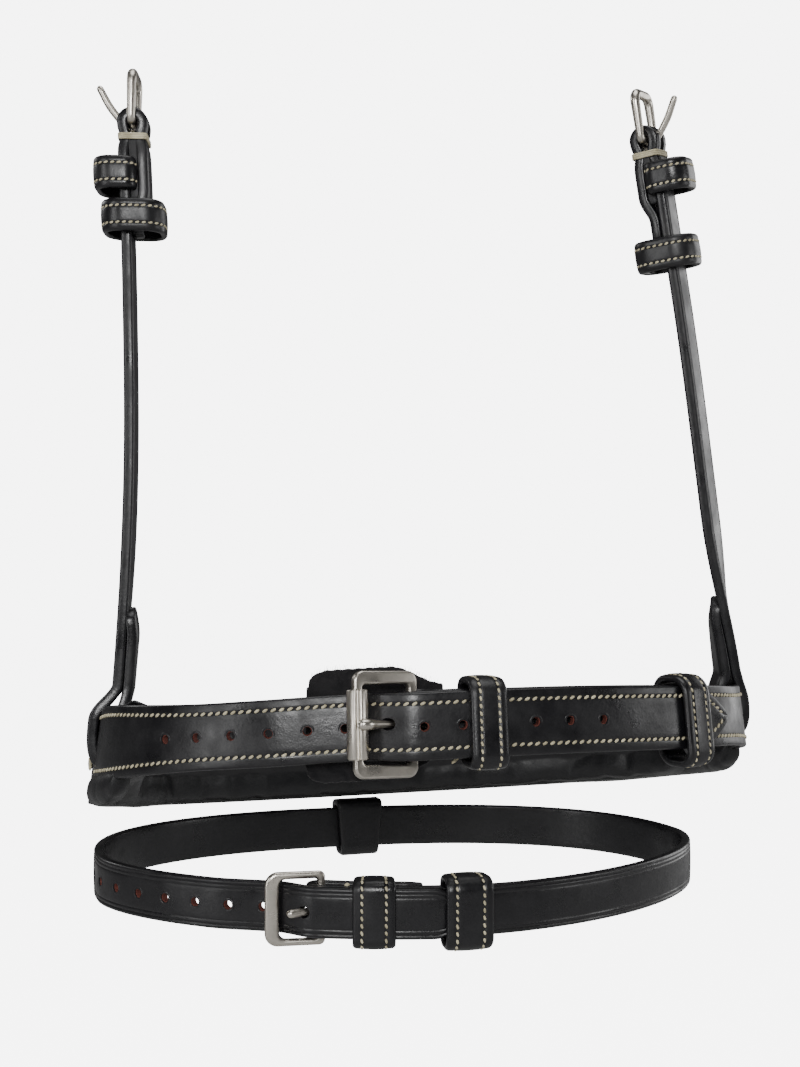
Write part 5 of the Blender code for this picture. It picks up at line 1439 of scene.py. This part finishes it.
def make_flash_keepers():
    thick = FLASH_KEEPER_THICKNESS
    clear = 2 * GAP + thick / 2
    high_out = FLASH_OVER + FLASH_THICKNESS / 2 + clear
    low_out = -FLASH_THICKNESS / 2 - clear
    reach = FLASH_HALF_HEIGHT + clear
    s = FLASH.at_x(-42.5 * MM)
    rows = keeper_rows(FLASH, s, low_out, high_out, flash_centre(s), reach, 6.5 * MM)
    keeper("flash_keeper_sewn", rows, thick, "flash_strap", "flash_fixed_keeper")
    s = FLASH.at_x(-14.5 * MM)
    size = (reach + 1.0 * MM, 7.2 * MM, 0.0, 3.4 * MM)
    rows = keeper_rows(FLASH, s, low_out - GAP, high_out + GAP, flash_centre(s), *size)
    keeper("flash_keeper_loose", rows, thick, "flash_keeper", "flash_running_keeper", inset=3.3 * MM)


def make_flash_loop():
    """The loop sewn under the nosepiece that carries the flash strap at the middle of the nose."""
    stand = (FLASH_THICKNESS + FLASH_LOOP_THICKNESS) / 2 + FLASH_LOOP_CLEAR
    z_low = FLASH_HEIGHT - FLASH_HALF_HEIGHT - 1.0 * MM - FLASH_LOOP_THICKNESS / 2
    z_high = FLASH_HEIGHT + FLASH_HALF_HEIGHT + 0.9 * MM + FLASH_LOOP_THICKNESS / 2
    rows = []
    for out, up in walk(rounded_box(2 * stand, z_high - z_low, 2.0 * MM, 9)):
        z = (z_low + z_high) / 2 + up
        half = mix(FLASH_LOOP_HALF_LOW, FLASH_LOOP_HALF_HIGH, (z - z_low) / (z_high - z_low))
        rows.append(tuple(Vector((side * half, FLASH_BACK + out, z)) for side in (1, -1)))
    keeper("flash_loop_leather", rows, FLASH_LOOP_THICKNESS, "flash_loop", "flash_loop")


# ---- build

LEFT = Hanger(-1, (-107.2, 18.0, 32.2), (-102.4, 22.0, 251.6), 18.0, -4.0, (18.5, 33.5))
RIGHT = Hanger(1, (112.3, -20.0, 35.2), (75.9, -18.6, 254.2), -47.0, 0.4, (14.5, 42.0))

make_nosepiece()
make_billet()
make_buckle_strap()
make_roller_buckle()
make_chin_guard()
make_noseband_keepers()
for hanger in (LEFT, RIGHT):
    make_hanger_strap(hanger)
    make_hanger_buckle(hanger)
    make_hanger_keepers(hanger)
    make_hanger_binding(hanger)
    make_keeper_tab(hanger)
    make_side_roll(hanger)
make_bar_tack(LEFT)
make_tacks()
make_flash_strap()
make_flash_buckle()
make_flash_keepers()
make_flash_loop()


# ---- studio

BACKDROP = 6.5  # what the default view transform shows as a very pale grey
WHITE = (1.0, 1.0, 1.0, 1.0)


def area_light(name, location, size, power, size_y=None):
    """A soft panel that faces the middle of the object."""
    light = bpy.data.lights.new(name, "AREA")
    light.energy = power
    light.size = size
    if size_y:
        light.shape = "RECTANGLE"
        light.size_y = size_y
    obj = new_object(name, light)
    obj.location = location
    towards = Vector((0.0, CENTRE_Y, 0.06)) - Vector(location)
    obj.rotation_euler = towards.to_track_quat("-Z", "Y").to_euler()


def make_world():
    """Plain pale surroundings: what the camera sees is even, what lights the object is graded."""
    world = bpy.data.worlds.new("studio")
    bpy.context.scene.world = world
    world.use_nodes = True
    nodes = Nodes(world.node_tree)
    nodes.tree.nodes.clear()
    seen = nodes.node("Background", Color=WHITE, Strength=BACKDROP)
    lit = nodes.node("Background")
    split = nodes.node("SeparateXYZ")
    blend = nodes.node("MixShader")
    nodes.link(nodes.node("NewGeometry").outputs["Incoming"], split, "Vector")
    nodes.link(nodes.ramp(split.outputs["Z"], 0.03, 0.13, 1.0, -1.0), lit, "Strength")
    nodes.link(nodes.node("LightPath").outputs["Is Camera Ray"], blend, "Fac")
    nodes.link(lit.outputs["Background"], blend, 1)
    nodes.link(seen.outputs["Background"], blend, 2)
    nodes.link(blend.outputs["Shader"], nodes.node("OutputWorld"), "Surface")


def make_floor():
    bm = bmesh.new()
    bmesh.ops.create_grid(bm, x_segments=1, y_segments=1, size=6.0)
    floor = bmesh_object("studio_floor", bm)
    floor.location = (0.0, CENTRE_Y, -0.30)
    paper = {"Specular_IOR_Level": 0.0, "Emission_Color": WHITE}
    look = Look("studio_paper", (0.5, 0.5, 0.5), 1.0, **paper)
    seen = look.node("LightPath").outputs["Is Camera Ray"]
    look.link(look.ramp(seen, 0.15, BACKDROP - 0.1, 0.0, 1.0), look.shader, "Emission Strength")
    look.cloudy("Base Color", look.noise(3.0, 2.0), (0.395, 0.395, 0.395), (0.405, 0.405, 0.405))
    floor.data.materials.append(look.material)


def make_camera():
    """Level camera in front of the chin, turned a little to the horse's right."""
    turn = radians(19.4)
    aside, back, height = mm(10.0, 580.0, 85.2)
    data = bpy.data.cameras.new("photo_camera")
    data.lens = 53.98
    data.sensor_width = 36.0
    data.shift_y = 0.0089
    data.clip_start = 0.01
    camera = new_object("photo_camera", data)
    x = -aside * cos(turn) - back * sin(turn)
    y = CENTRE_Y + aside * sin(turn) - back * cos(turn)
    camera.location = (x, y, height)
    camera.rotation_euler = (radians(90.0), 0.0, -turn)
    bpy.context.scene.camera = camera


make_world()
make_floor()
make_camera()
area_light("front_softbox", (-0.62, -1.7, 0.62), 0.42, 19.0, size_y=0.42)
area_light("left_strip", (-1.5, -0.7, 0.35), 0.35, 8.0, size_y=1.1)
area_light("top_panel", (0.1, -0.25, 1.5), 1.1, 11.0)
area_light("back_right_panel", (1.6, 0.5, 0.40), 0.8, 7.0, size_y=1.1)
area_light("back_left_panel", (-1.2, 1.3, 0.9), 0.5, 4.0)
area_light("right_fill", (1.5, -0.9, 0.3), 0.6, 5.0)
